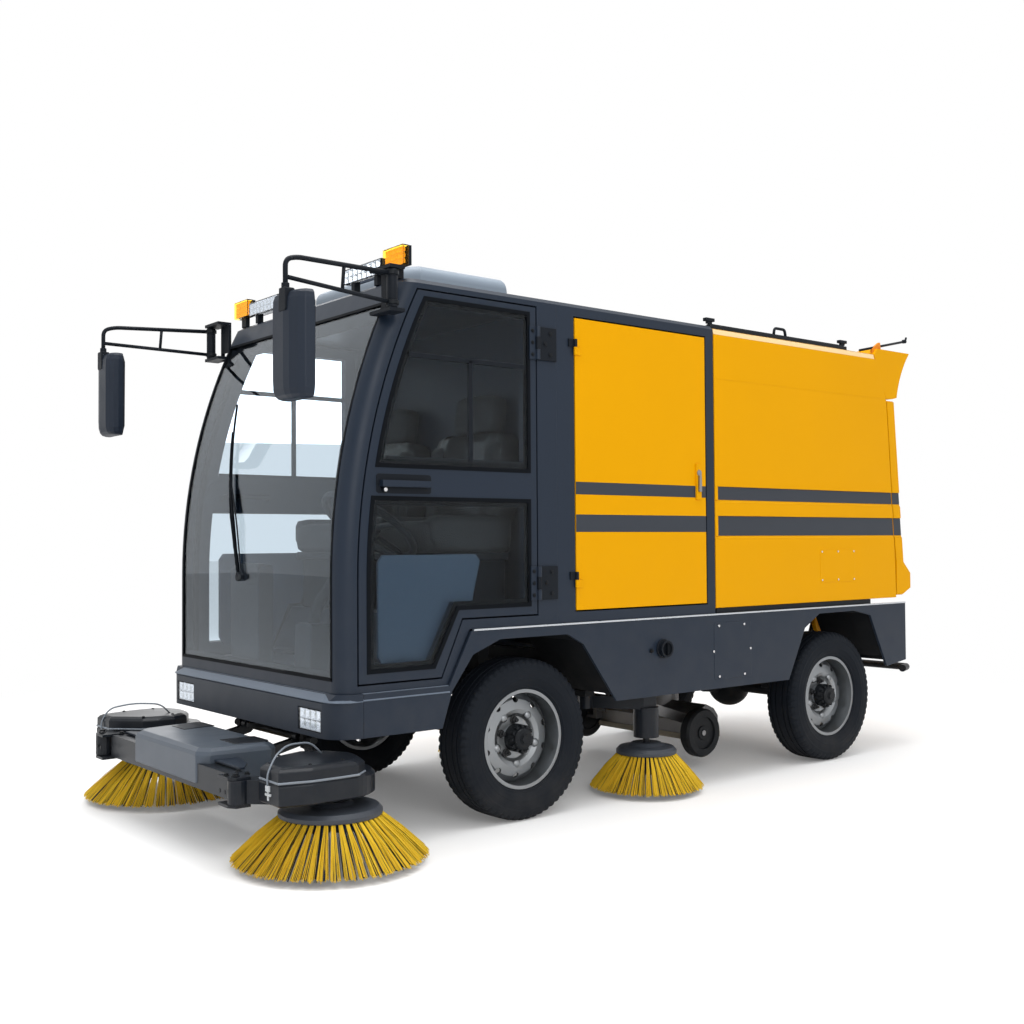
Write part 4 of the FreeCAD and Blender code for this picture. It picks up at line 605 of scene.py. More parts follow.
def clear(name, colour, roughness=0.0, bending=1.45, sky=(1, 1, 1)):
    """Glass or clear plastic that light passes through, with a trace of dust low down; a sky colour can be
    painted into its reflection.
    """
    material, tree, shader = new_finish(name, roughness)
    shader.inputs["Transmission Weight"].default_value = 1.0
    shader.inputs["IOR"].default_value = bending
    # The sky colour tints what the glass mirrors: a painted sky reflection.
    shader.inputs["Specular Tint"].default_value = (*sky, 1)
    film = put_group(tree, ROAD_FILM, Colour=(*colour, 1), Top=0.8, Amount=0.03, Roughness=roughness)
    tree.links.new(film["Colour"], shader.inputs["Base Color"])
    return material


def glowing(name, colour, glow, strength):
    """A small lamp chip: a clear dome over a coloured core."""
    material, tree, shader = new_finish(name, 0.1, 0.0, 0.6, 1.0)
    core = put_group(tree, SPRAYED_SKIN, Colour=(*colour, 1), Mottle=0.3, Base_Roughness=0.1)
    tree.links.new(core["Colour"], shader.inputs["Base Color"])
    shader.inputs["Emission Color"].default_value = (*glow, 1)
    shader.inputs["Emission Strength"].default_value = strength
    return material


# %% Painted metal
SLATE = painted("slate_paint", (0.0105, 0.0185, 0.0335), 0.40, mottle=0.08, film_top=1.0, film=0.05,
                specular=0.25)
# A paler slate for the top bevels of the bumper and the sill: a painted highlight that stands in for sky
# light on the slant.
LEDGE_HIGHLIGHT_SLATE = painted("ledge_painted_highlight", (0.120, 0.150, 0.195), 0.38, film=0.02, specular=0.25)
YELLOW = painted("yellow_paint", (0.735, 0.340, 0.0003), 0.42, mottle=0.05, film_top=1.2, film=0.02,
                 specular=0.05)
# A pale yellow for the hopper's top chamfer: a painted highlight where the chamfer catches the sky.
BROW_HIGHLIGHT_YELLOW = painted("brow_painted_highlight", (0.86, 0.60, 0.30), 0.30, film=0.0, specular=0.3)
FRAME_BLACK = painted("frame_black", (0.0050, 0.0075, 0.0115), 0.45, film_top=0.8, specular=0.16, rubbed=0.25)
BROOM_BLACK = painted("broom_black", (0.0060, 0.0090, 0.0145), 0.32, film_top=0.6, film=0.05, specular=0.22,
                      rubbed=0.10)
COVER_SLATE = painted("cover_slate", (0.064, 0.082, 0.108), 0.36, film_top=0.7, film=0.05)
POD_GREY = painted("pod_grey", (0.235, 0.285, 0.345), film=0.0)
STRIPE_DARK = painted("stripe_dark", (0.036, 0.042, 0.053), 0.42, mottle=0.03, film=0.02, specular=0.2)
DISC_GREY = painted("disc_grey", (0.036, 0.044, 0.058), 0.45, film_top=0.4, film=0.08, rubbed=0.15)
CLIP_PALE = painted("clip_pale", (0.55, 0.58, 0.60), film_top=0.5, film=0.1)
# Pale grey for the motor covers' seam, where it is a painted highlight on the glossy black's edge, and the
# own colour of the motor cables.
SEAM_HIGHLIGHT_AND_CABLE_GREY = painted("seam_highlight_and_cable_grey", (0.20, 0.23, 0.27), film=0.05)
BRACKET_ORANGE = painted("bracket_orange", (0.72, 0.235, 0.015), 0.4, film=0.0, specular=0.1)
INNER_BLUE = painted("inner_blue", (0.050, 0.075, 0.115), 0.5, film=0.0, specular=0.2)

# %% Bare metal
TRIM_SILVER = bare_metal("trim_silver", (0.62, 0.65, 0.69), 0.28)
RIM_SILVER = bare_metal("rim_silver", (0.27, 0.285, 0.30), 0.40, 0.12)
BRIGHT_STEEL = bare_metal("bright_steel", (0.70, 0.70, 0.71), 0.2, 0.1)
DULL_STEEL = bare_metal("dull_steel", (0.30, 0.30, 0.31), 0.45, 0.3)
MIRROR_GLASS = bare_metal("mirror_glass", (0.85, 0.87, 0.88), 0.03)
CUP_SILVER = bare_metal("lamp_reflector", (0.80, 0.81, 0.82), 0.16)

# %% Plastic, rubber, cloth and bristles
CAST_BLACK = moulded("cast_black", (0.0060, 0.0080, 0.0110), 0.42, 500.0, 0.0004, film=0.06, specular=0.16)
GRAINED_BLACK = moulded("grained_black", (0.0060, 0.0085, 0.0130), film=0.04, specular=0.14)
MIRROR_SHELL = moulded("mirror_shell", (0.0115, 0.0180, 0.0310), 0.45, film=0.02, specular=0.25)
LINER_BLACK = moulded("liner_black", (0.0070, 0.0085, 0.0110), 0.7, film_top=0.7, film=0.15, specular=0.1)
TYRE_RUBBER = moulded("tyre_rubber", (0.0060, 0.0085, 0.0130), 0.68, 1400.0, 0.0001, film_top=0.3, film=0.06,
                      specular=0.14)
SEAL_RUBBER = moulded("seal_rubber", (0.0035, 0.0048, 0.0070), 0.55, film=0.02, specular=0.06)
PALE_RUBBER = moulded("pale_rubber", (0.42, 0.38, 0.30), 0.75, film=0.3)
DASH_PLASTIC = moulded("dash_plastic", (0.020, 0.024, 0.030), 0.55, film=0.0, specular=0.2)
SEAT_VINYL = moulded("seat_vinyl", (0.030, 0.032, 0.036), 0.42, 1200.0, 0.0003, film=0.0)
SEAT_CLOTH = moulded("seat_cloth", (0.022, 0.024, 0.028), 0.75, 1600.0, 0.0004, film=0.0)
BRISTLE_SKIN = {"grain": 300.0, "film_top": 0.10, "film": 0.05}
BRISTLE_YELLOW = moulded("bristle_yellow", (0.85, 0.56, 0.035), specular=0.08, **BRISTLE_SKIN)
BRISTLE_DARK = moulded("bristle_dark", (0.008, 0.013, 0.028), specular=0.1, **BRISTLE_SKIN)

# %% Glass and lamps
WINDOW_GLASS = clear("window_glass", (0.80, 0.87, 0.90), bending=1.20)
# The windscreen's pale blue reflection tint is a painted sky reflection.
WINDSCREEN_GLASS = clear("windscreen_glass", (0.74, 0.82, 0.90), bending=1.38, sky=(0.70, 0.86, 1.0))
LAMP_GLASS = clear("lamp_glass", (0.95, 0.96, 0.97), 0.04)
LAMP_COVER = clear("lamp_cover", (0.88, 0.92, 0.97), 0.03)
AMBER_GLASS = clear("amber_glass", (1.0, 0.76, 0.22), 0.05, 1.15)
RED_GLASS = clear("tail_glass", (0.75, 0.02, 0.015), 0.06)
WRAP_CLEAR = clear("seat_wrap", (0.96, 0.97, 0.98), 0.12)
LED_CORE = glowing("led_core", (0.80, 0.82, 0.78), (1.0, 1.0, 0.95), 0.06)
AMBER_CORE = glowing("amber_core", (1.0, 0.60, 0.06), (1.0, 0.60, 0.08), 0.34)
print("finishes:", len(bpy.data.materials))

# %% [markdown]
# ## Dress the solids
# Most of the solids keep their shape and only change their finish. The table gives each finish the
# solids that wear it, and a name that stops at an underscore stands for a left and a right one.

# %% Finish of each solid
WORN_BY = [
    (FRAME_BLACK, "chassis_rails cross_members frame_brackets front_axle rear_axle knuckle_ lift_barrels "
                  "battery_pack hopper_lid"),
    (BRIGHT_STEEL, "lift_rods"),
    (RIM_SILVER, "front_rim_ rear_rim_"),
    (TYRE_RUBBER, "front_tyre_ rear_tyre_"),
    (SLATE, "side_skirts front_bumper cab_shell cab_door_ equipment_bay"),
    (POD_GREY, "roof_pod"),
    (YELLOW, "bay_door_ hopper_shell tailgate"),
    (LINER_BLACK, "wheel_arch_liners suction_duct"),
    (WINDSCREEN_GLASS, "windscreen"),
    (WINDOW_GLASS, "door_glass_"),
    (LAMP_GLASS, "headlamps tail_lamps"),
    (AMBER_GLASS, "roof_lamps"),
    (MIRROR_SHELL, "mirror_"),
    (SEAT_VINYL, "seats"),
    (DASH_PLASTIC, "dashboard steering_wheel"),
    (BROOM_BLACK, "broom_frame broom_arm_ side_arm_ front_brush_ side_brush_"),
    (DULL_STEEL, "suction_mouth"),
    (PALE_RUBBER, "mouth_skirt"),
    (CAST_BLACK, "nozzle_wheel_"),
    (SEAL_RUBBER, "wiper"),
    (GRAINED_BLACK, "hinge_posts mirror_brackets charging_socket"),
]
dressed = 0
for finish, names in WORN_BY:
    for name in names.split():
        for solid_name in [name + word for word in SIDES] if name.endswith("_") else [name]:
            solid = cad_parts[solid_name]
            solid.data.materials.clear()
            solid.data.materials.append(finish)
            dressed += 1
print("dressed", dressed, "of", len(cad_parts), "solids")

# %% [markdown]
# ## Tyres with tread
# A light truck tyre has four ribs between three grooves, and short cuts across its shoulders. The
# packed tyre is a smooth ring, so a finer one takes its place. It is one profile turned in many
# steps; at every third step the shoulder corners sink a little, which cuts the tread into blocks.

# %% Tyre mesh
WHEEL_Y = 550
WHEEL_Z = 298
AXLES = {"front": 710, "rear": -1146}
TYRE_STEPS = 180
# Each point of the half profile: radius, distance from the tyre's middle, and how far the cut sinks it
TYRE_HALF = [
    (297.6, 0, 0), (297.6, 15, 0), (290, 16, 0), (290, 22, 0), (297.4, 23, 0), (297.2, 42, 0), (290, 43, 0),
    (290, 49, 0), (297, 50, 0), (296.6, 60, 4), (294, 68, 6), (283, 77, 5), (272, 80, 3), (268, 80.6, 0),
    (262, 82.4, 0), (258, 82.6, 0), (256, 81.8, 0), (240, 83.2, 0), (226, 82.6, 0), (224, 83.4, 0),
    (222, 82.2, 0), (206, 76.5, 0), (196, 71, 0), (192, 70.5, 0), (190, 67, 0), (186, 64.6, 0),
    (184.4, 57, 0), (176.4, 56.6, 0),
]


def tyre_shape(axle_x):
    """Rings of the profile round the axle, with the cuts in every third one."""
    profile = TYRE_HALF[::-1] + [(radius, -along, sink) for radius, along, sink in TYRE_HALF[1:]]
    corners, faces = [], []
    count = len(profile)
    for step in range(TYRE_STEPS):
        angle = 2 * math.pi * step / TYRE_STEPS
        for radius, along, sink in profile:
            reach = radius - (sink if step % 3 == 0 else 0)
            corners.append((axle_x + reach * math.cos(angle), WHEEL_Y + along,
                            WHEEL_Z + reach * math.sin(angle)))
        faces += walls(step * count, (step + 1) % TYRE_STEPS * count, count)
    return corners, faces


for axle, axle_x in AXLES.items():
    tyres = pair(f"{axle}_tyre_tread", tyre_shape(axle_x), axle + "_wheel_{side}", "tyre", TYRE_RUBBER,
                 axle + "_tyre_{side}")
print("tyre faces:", len(tyres[0].data.polygons))

# %% [markdown]
# ## Hubs, nuts and valves
# The steel wheel is held by five nuts on a bolt circle, with a shallow bump pressed between each
# pair. The hub in the middle is a black splined casting with a hexagon plug. They sit on the face of
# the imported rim, so each is a short turned plug along the axle.

# %% Hub pieces
STUD_CIRCLE, BUMP_CIRCLE, VALVE_CIRCLE = 66, 96, 158
STUDS, TEETH = 5, 12
FIRST_STUD = 0.3
BUMP = [(0.2, 578), (6, 577), (13, 573), (17, 568), (17, 564), (0.2, 564)]
HUB_CAP = [(0.2, 618), (30, 618), (36, 616), (41, 611), (41, 603), (45, 595), (52, 582), (52, 560),
           (0.2, 560)]

for axle, axle_x in AXLES.items():
    hub = (axle_x, 0, WHEEL_Z)

    def at_angle(radius, angle):
        return axle_x + radius * math.cos(angle), 0, WHEEL_Z + radius * math.sin(angle)

    studs, bumps = [], []
    for number in range(STUDS):
        angle = 2 * math.pi * number / STUDS + FIRST_STUD
        place = at_angle(STUD_CIRCLE, angle)
        studs += [hexagon(12, 554, 566, place, "y"), disc(6.5, 560, 578, place, "y", 10),
                  disc(15, 551, 556, place, "y", 16)]
        bumps.append(turned(BUMP, at_angle(BUMP_CIRCLE, angle + math.pi / STUDS), "y", 16))
    tooth = block(around(axle_x, 5), (584, 606), (WHEEL_Z + 40, WHEEL_Z + 52))
    teeth = [spun(tooth, hub, "Y", 2 * math.pi * number / TEETH) for number in range(TEETH)]
    plug = [hexagon(17, 617, 625, hub, "y"), disc(21, 614, 620, hub, "y", 32)]
    valve = disc(3.6, 540, 566, at_angle(VALVE_CIRCLE, math.pi / 4 + 0.1), "y", 12)
    for name, shape, slot, finish, smooth, bevel in (
            ("wheel_studs", together(studs), "frame_black", FRAME_BLACK, False, 0),
            ("wheel_bumps", together(bumps), "rim_silver", RIM_SILVER, True, 0),
            ("hub_cap", turned(HUB_CAP, hub, "y", 40), "frame_black", CAST_BLACK, False, 1.0),
            ("hub_plug", together(plug), "frame_black", CAST_BLACK, False, 0.8),
            ("hub_teeth", together(teeth), "frame_black", CAST_BLACK, False, 1.0),
            ("valve", valve, "tyre", SEAL_RUBBER, False, 0)):
        pair(f"{axle}_{name}", shape, axle + "_wheel_{side}", slot, finish, smooth=smooth, bevel=bevel)
print("wheels dressed")

# %% [markdown]
# ## Outlines of the doors and windows
# The cab's front is one large arc above the bumper line, so the door and both side windows share it.
# Writing that curve once lets every seal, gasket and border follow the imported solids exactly. Most of
# those pieces are a flat ring between two such outlines.

# %% Shared outlines
ARC_RADIUS, ARC_X, ARC_Z, FACE_X = 2256, -744, 900, 1512


def front_x(inset, z):
    """Where the cab's curved face lies at a height, inset towards the rear."""
    if z < ARC_Z:
        return FACE_X - inset
    return ARC_X + math.sqrt((ARC_RADIUS - inset) ** 2 - (z - ARC_Z) ** 2)


def face_line(inset, low, high, steps=12):
    """Points down the cab's face, inset towards the rear, from one height to another."""
    heights = [low + (high - low) * step / steps for step in range(steps + 1)]
    return [(front_x(inset, z), z) for z in heights]


def cut_line(gap, inset, low, high, rear, cut_z, cut_x, low_x):
    """An outline with a curved front and a slanting cut at its lower rear corner, moved in by a gap."""
    slant = 0.6 * gap
    return face_line(inset + gap, low + gap, high - gap) + [
        (rear + gap, high - gap), (rear + gap, cut_z + gap), (cut_x + slant, cut_z + gap),
        (low_x + slant, low + gap)]


def door_line(gap):
    return cut_line(gap, 63, 554, 1906, 666, 754, 1015, 1106)


def lower_window(gap):
    return cut_line(gap, 104, 595, 1181, 704, 793, 1035, 1138)


def upper_window(gap):
    return face_line(104 + gap, 1285 + gap, 1877 - gap) + [(704 + gap, 1877 - gap), (704 + gap, 1285 + gap)]


def bolt(x, y, z, axis="y", radius=7, height=5):
    """A hexagon head on its washer, standing on a face that looks along the axis."""
    place, base = {"y": ((x, 0, z), y), "x": ((0, y, z), x), "z": ((x, y, 0), z)}[axis]
    return together([disc(radius * 1.35, base - 1, base + 1.4, place, axis, 16),
                     hexagon(radius, base, base + height, place, axis)])


# %% [markdown]
# ## Door seals, window gaskets and borders
# A dark rubber seal closes the gap round each door from inside. Each pane sits in a black gasket, and
# a dark printed border behind it hides the ledge that it is glued to. The upper window slides, so it
# has an upright and a rail across it.

# %% Seals and gaskets
CAB_DOOR = "cab_door_{s}"


def window_frames(outer, inner, low, high):
    """A flat frame round each of a door's two windows."""
    return together([ring(line(outer), line(inner), "y", low, high) for line in (upper_window, lower_window)])


pair("door_seal", ring(door_line(-7), door_line(13), "y", 601, 614.4), "chassis", "wiper_black", SEAL_RUBBER)
pair("window_gasket", window_frames(-4, 11, 647.5, 652.5), CAB_DOOR, "wiper_black", SEAL_RUBBER, bevel=1.2)
pair("window_border", window_frames(6, 27, 644.02, 644.2), CAB_DOOR, "wiper_black", SEAL_RUBBER)
slider = [block((966, 984), (636, 650.6), (1309, 1676)), block((726, 1240), (636, 650.6), (1664, 1682)),
          block((726, 1330), (636, 643), (1309, 1322))]
pair("window_slider", together(slider), CAB_DOOR, "wiper_black", GRAINED_BLACK, bevel=1.5)
print("doors sealed")

# %% [markdown]
# ## Windscreen border
# The windscreen is one curved sheet. A dark printed band runs round its edge, wider at the top. The
# band is built as four thin strips that follow the same curve just inside the glass, and the rubber
# gasket as four more in front of its edge.

# %% Windscreen border
GLASS_LOW, GLASS_HIGH, GLASS_HALF = 575, 1850, 590


def curved_strip(low, high, near_y, far_y, inset, thickness):
    """A strip that follows the cab's face between two heights and two widths."""
    front = face_line(inset, low, high, 10)
    back = [(front_x(inset + thickness, z), z) for _, z in reversed(front)]
    return slab(front + back, "y", near_y, far_y)


def edging(out, half, low_in, high_in, side_in, inset, thickness):
    """Four strips round the windscreen, each as wide inward as its own number says."""
    edges = [(GLASS_LOW - out, GLASS_LOW + low_in, -half, half),
             (GLASS_HIGH - high_in, GLASS_HIGH + out, -half, half),
             (GLASS_LOW, GLASS_HIGH, GLASS_HALF - side_in, GLASS_HALF + out),
             (GLASS_LOW, GLASS_HIGH, -GLASS_HALF - out, side_in - GLASS_HALF)]
    return together([curved_strip(*edge, inset, thickness) for edge in edges])


fit("windscreen_border", edging(2, GLASS_HALF, 26, 70, 26, 9.4, 1.2), "chassis", "wiper_black", SEAL_RUBBER)
fit("windscreen_gasket", edging(5, GLASS_HALF + 5, 6, 6, 6, -1.6, 5), "chassis", "wiper_black", SEAL_RUBBER)
print("windscreen edged")

# %% [markdown]
# ## Silver trims, dark stripes and the hopper's sides
# A silver strip caps the ledge over the skirts. Two dark stripes run along the side: as tape on the bay
# door, and on the hopper as the painted floors of two pressed channels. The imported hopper's sides are
# flat, so a thin pressed sheet lies over each: it is built as bands, with a bevel under each channel.
# A screwed access panel closes the skirt behind the bay, and another the hopper's side.

# %% Lines of the side sheets
CHANNELS = ((1200, 1258), (1047, 1133))
CHANNEL_BEVEL = 12
SHEET = (644.05, 649.6)
FLOOR = (SHEET[0], SHEET[0] + 0.7)
HOPPER_FRONT_X, HOPPER_TOP_Z, BROW_LOW_Z = -318.5, 1929.5, 1906
SEAM_KINK_Z = 916


def hopper_front(_):
    return HOPPER_FRONT_X


def stripe_front(_):
    return -338


def hopper_end(z, clearance=1.0):
    """Where the hopper's side ends at a height, along the tailgate's sloping seam."""
    if z <= SEAM_KINK_Z:
        return -1643 - (SEAM_KINK_Z - z) * 2 / 174 + clearance
    return -1581 - 62 * (1718 - z) / 802 + clearance


def tail_start(z):
    return hopper_end(z, 0) - 6


def tail_end(z):
    return -1711 if z <= SEAM_KINK_Z else -1645 - 66 * (1710 - z) / 794


def band(low, high, start, end, depth):
    """A strip of side sheet between two heights, its ends following two slanting lines."""
    return slab([(start(low), low), (start(high), high), (end(high), high), (end(low), low)], "y", *depth)


def pressed_side(low, high, start, end):
    """Bands of side sheet below, between and above the channels, and a bevel under each channel."""
    (upper_low, upper_high), (lower_low, lower_high) = CHANNELS
    heights = [(low, lower_low - CHANNEL_BEVEL), (lower_high, upper_low - CHANNEL_BEVEL), (upper_high, high)]
    shapes = [band(bottom, top, start, end, SHEET) for bottom, top in heights]
    for top, _ in CHANNELS:
        wedge = [(SHEET[0], top), (SHEET[1], top - CHANNEL_BEVEL), (SHEET[0], top - CHANNEL_BEVEL)]
        shapes.append(slab(wedge, "x", start(top), end(top)))
    return shapes


def channel_floors(start, end):
    return together([band(low + 1, high - 1, start, end, FLOOR) for low, high in CHANNELS])


def cut_rectangle(x, z, cut_x=6, cut_z=6):
    """A rectangle's outline with its corners cut off."""
    near, far = (x[0] + cut_x, x[1] - cut_x), (z[0] + cut_z, z[1] - cut_z)
    return [(x[0], far[0]), (x[0], far[1]), (near[0], z[1]), (near[1], z[1]), (x[1], far[1]), (x[1], far[0]),
            (near[1], z[0]), (near[0], z[0])]


# %% Trims, side sheets and stripes
trim = slab([(-1700, 713.6), (978, 713.6), (974, 720), (-1700, 720)], "y", 650.4, 665)
pair("ledge_trim", trim, "chassis", "rim_silver", TRIM_SILVER, bevel=0.6)
# The sill lip's paler slate is a painted highlight on its slanting top.
lip = [(662.1, 505), (663.6, 506), (655, 530.4), (640, 530.4), (640, 528.2), (655, 528.2)]
pair("sill_lip", slab(lip, "x", 1082, 1434), "chassis", "slate_paint", LEDGE_HIGHLIGHT_SLATE)
# A black block fills the gap between the skirt's ledge and the hopper: painted shade in the gap.
hopper_gap_shade_block = block((-1440, -330), (606, 642), (715, 741))
pair("hopper_gap_shade_block", hopper_gap_shade_block, "chassis", "frame_black", FRAME_BLACK, bevel=1.5)
tapes = [block((-258.5, 475.5), (649.9, 650.5), z) for z in ((1208, 1256), (1064, 1131))]
pair("bay_door_stripes", together(tapes), "bay_door_{s}", "slate_paint", STRIPE_DARK)
sheets = pressed_side(743, 1716, hopper_end, hopper_front)
sheets.append(slab([(HOPPER_FRONT_X, 1716), (HOPPER_FRONT_X, BROW_LOW_Z), (-1502, BROW_LOW_Z), (-1578, 1716)],
                   "y", *SHEET))
sheets += [block((-337, HOPPER_FRONT_X), SHEET, channel) for channel in CHANNELS]
# The brow's pale yellow is a painted highlight along the hopper's top edge.
brow = [(SHEET[0], BROW_LOW_Z), (SHEET[1], BROW_LOW_Z), (SHEET[0], HOPPER_TOP_Z - 0.5)]
pair("hopper_brow", slab(brow, "x", -1486, HOPPER_FRONT_X), "hopper", "yellow_paint", BROW_HIGHLIGHT_YELLOW)
pair("hopper_sheet", together(sheets), "hopper", "yellow_paint", YELLOW, bevel=1.0)
pair("hopper_stripes", channel_floors(hopper_end, stripe_front), "hopper", "slate_paint", STRIPE_DARK)
tail_foot = [(-1650, 757), (-1652, 930), (-1710, 930), (-1711, 916), (-1769, 860), (-1769, 787), (-1703, 757)]
tail_sheets = pressed_side(930, 1706, tail_end, tail_start) + [slab(tail_foot, "y", *SHEET)]
pair("tailgate_sheet", together(tail_sheets), "tailgate", "yellow_paint", YELLOW, bevel=1.0)
pair("tailgate_stripes", channel_floors(tail_end, tail_start), "tailgate", "slate_paint", STRIPE_DARK)
hood_arc = [(-1789, 1959)] + bowed((-1789, 1959), (-1717, 1850), (-1676, 1730), 8)
hood_side = [(-1488, 1929), (-1515, 1959.5)] + hood_arc + [(-1641, 1722), (-1584, 1718.5)]
pair("hood_side", slab(hood_side, "y", SHEET[0], 646.5), "hopper", "yellow_paint", YELLOW, bevel=0.8)

# %% Access panels
panel = slab(cut_rectangle((-525, -288), (443, 682)), "y", 661.6, 662.9)
bolt_places = [(x, z) for z in (455, 668) for x in (-480, -318)] + [(-284, 562), (-520, 562)]
bolts = [disc(5.5, 662, 666.5, (x, 0, z), "y", 14) for x, z in bolt_places]
pair("access_panel", panel, "chassis", "slate_paint", SLATE, bevel=0.5)
pair("access_bolts", together(bolts), "chassis", "bright_rod", BRIGHT_STEEL, bevel=1.2)
plate = slab(cut_rectangle((-1305, -1036), (830, 985)), "y", 649, 651)
screws = [disc(4.2, 650, 654, (x, 0, z), "y", 12) for x in (-1048, -1170, -1293) for z in (842, 973)]
pair("hopper_plate", plate, "hopper", "yellow_paint", YELLOW, bevel=0.8)
pair("hopper_plate_screws", together(screws), "hopper", "bright_rod", BRIGHT_STEEL)
print("side sheets on")

# %% [markdown]
# ## Hinges, handles and latches
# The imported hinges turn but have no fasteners. Three hexagon bolts hold each fixed leaf and three hold
# the leaf on the door. The door pull gets a dark recess behind it and a lock barrel, and the bay
# door's latch a small turning handle.

# %% Hinge bolts and handles
HINGE_Z = (874, 1767)
LOCK = (1345, 0, 1206)
fixed = [bolt(x, 658, middle + z, radius=6.5)
         for middle in HINGE_Z for x, z in ((606, -40), (606, 40), (632, 0))]
moving = [bolt(693, 658, middle + z, radius=5.5) for middle in HINGE_Z for z in (-44, 0, 44)]
pair("cab_hinge_bolts", together(fixed), "chassis", "frame_black", CAST_BLACK)
pair("cab_hinge_door_bolts", together(moving), CAB_DOOR, "frame_black", CAST_BLACK)
pull = [slab(cut_rectangle((1150, 1374), (1194, 1260), 8), "y", 649.8, 652),
        disc(10, 650, 664, LOCK, "y", 20)]
pair("door_pull_plate", together(pull), CAB_DOOR, "frame_black", GRAINED_BLACK, bevel=0.8)
pair("door_lock", disc(7, 652, 666, LOCK, "y", 20), CAB_DOOR, "bright_rod", BRIGHT_STEEL, bevel=0.6)
latch = [disc(13, 656, 662, (-210, 0, 1310), "y", 24),
         slab([(-216, 1300), (-204, 1300), (-202, 1232), (-218, 1232)], "y", 658, 668)]
pair("bay_latch_handle", together(latch), "bay_door_{s}", "bright_rod", DULL_STEEL, bevel=1.0)
print("hinges bolted")

# %% [markdown]
# ## Mirrors
# Each mirror hangs from a bent tube that turns on the bracket's pin, with a straight stay below it and
# a tie between them. The head is a moulded shell: a rounded outline in plan, drawn in towards its top
# and bottom. Its rear face holds the glass in a rim.

# %% Mirror arms and heads
PIN_X, PIN_Y = 1340, 700
MIRROR = "mirror_{s}"
GLASS_X, HEAD_Y = 1720, 772
HEAD_PLAN = [(1720, 694), (1744, 687), (1766, 688), (1780, 697), (1788, 712), (1788, 778), (1783, 806),
             (1770, 836), (1752, 853), (1720, 857)]
HEAD_LEVELS = ((1470, 0.80), (1473, 0.88), (1482, 0.95), (1500, 0.99), (1530, 1.0), (1740, 1.0), (1775, 0.99),
               (1792, 0.95), (1800, 0.88), (1803, 0.80))
GLASS = [(704, 1512), (722, 1488), (822, 1488), (840, 1512), (843, 1762), (828, 1785), (716, 1785),
         (701, 1762)]
RIM = [(697, 1508), (716, 1480), (828, 1480), (847, 1508), (850, 1766), (833, 1793), (711, 1793), (694, 1766)]
CAP = [(752, 1738), (793, 1738), (797, 1744), (797, 1806), (790, 1810), (756, 1810)]
SLEEVE = [(10.5, 1813), (17, 1813), (18.5, 1816), (18.5, 1940), (17, 1943), (10.5, 1943)]
COLLARS = ([(18.5, 1822), (23, 1824), (23, 1836), (18.5, 1838)],
           [(18.5, 1921), (23, 1923), (23, 1936), (18.5, 1938)])
pin = (PIN_X, PIN_Y, 0)
tube_path = [(PIN_X, PIN_Y, 1929), (1732, 763, 1914), (1776, 771, 1900), (1776, 772, 1792)]
arm = [swept(rounded_path(tube_path, 46, 8), 8, 12),
       swept([(PIN_X, PIN_Y, 1830), (1776, 770, 1846)], 7, 12),
       swept([(1545, 733, 1923), (1552, 734, 1838)], 6, 10),
       turned(SLEEVE, pin, "z", 28)]
pair("mirror_arm", together(arm), MIRROR, "mirror_black", GRAINED_BLACK, "mirror_{side}", smooth=True)
# Each level's outline is drawn in towards the head's middle, and lengthwise towards the glass
shell = stepped([(height, [(GLASS_X + (x - GLASS_X) * (2 * share - 1), HEAD_Y + (y - HEAD_Y) * share)
                           for x, y in HEAD_PLAN]) for height, share in HEAD_LEVELS])
pair("mirror_head", shell, MIRROR, "mirror_black", MIRROR_SHELL, bevel=3.0, segments=3)
pair("mirror_glass", slab(GLASS, "x", 1717.5, 1721), MIRROR, "rim_silver", MIRROR_GLASS, bevel=0.8)
pair("mirror_rim", ring(RIM, GLASS, "x", 1715, 1721), MIRROR, "mirror_black", GRAINED_BLACK, bevel=0.8)
cap = together([slab(CAP, "x", 1757, 1790.5), disc(12.5, 1790, 1826, (1776, 771.5, 0), "z", 20)])
pair("mirror_cap", cap, MIRROR, "mirror_black", GRAINED_BLACK, bevel=2.0)
collars = [turned(collar, pin, "z", 24) for collar in COLLARS]
pair("mirror_collars", together(collars), MIRROR, "mirror_black", CAST_BLACK)
print("mirrors hung")

# %% [markdown]
# ## Headlamps and light bars
# Each headlamp is a black tray with eight small reflectors in two rows behind a clear cover, and the
# clear bars on the roof hold longer rows of the same. A reflector is a shallow square cup with a
# domed lens in it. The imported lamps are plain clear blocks, so a fuller set takes their place.

# %% LED cells
CELL_DEPTH = 12


def upright(y, z):
    """A rectangle's outline across x."""
    return [(y[0], z[0]), (y[1], z[0]), (y[1], z[1]), (y[0], z[1])]


def reflector(x, y, z, half_y, half_z):
    """A square cup open towards +X, narrower at its base."""
    rim = upright(around(y, half_y), around(z, half_z))
    base = [((y + a) / 2, (z + b) / 2) for a, b in rim]
    return laid(rim, "x", x) + laid(base, "x", x - CELL_DEPTH), walls(0, 4, 4) + [span(4, 4)]


def dome(x, y, z, radius, height):
    """A small round lens that stands out towards +X."""
    curve = [(radius * math.cos(angle), height * math.sin(angle)) for angle in (0.4, 0.8, 1.2)]
    return turned([(0.1, 0), (radius, 0)] + curve + [(0.1, height)], (x, y, z), "x", 14)


def lamp_row(x, y, z, columns, rows):
    """Cups and lenses that fill a lamp's face."""
    step_y = (y[1] - y[0]) / columns
    step_z = (z[1] - z[0]) / rows
    places = [(y[0] + step_y * (column + 0.5), z[0] + step_z * (row + 0.5))
              for column in range(columns) for row in range(rows)]
    cups = [reflector(x, *place, step_y * 0.49, step_z * 0.49) for place in places]
    return cups, [dome(x - CELL_DEPTH, *place, min(step_y, step_z) * 0.3, 8) for place in places]


def flanks(middle, near, far):
    """The spans from near to far on both sides of a middle."""
    return (middle - far, middle - near), (middle + near, middle + far)


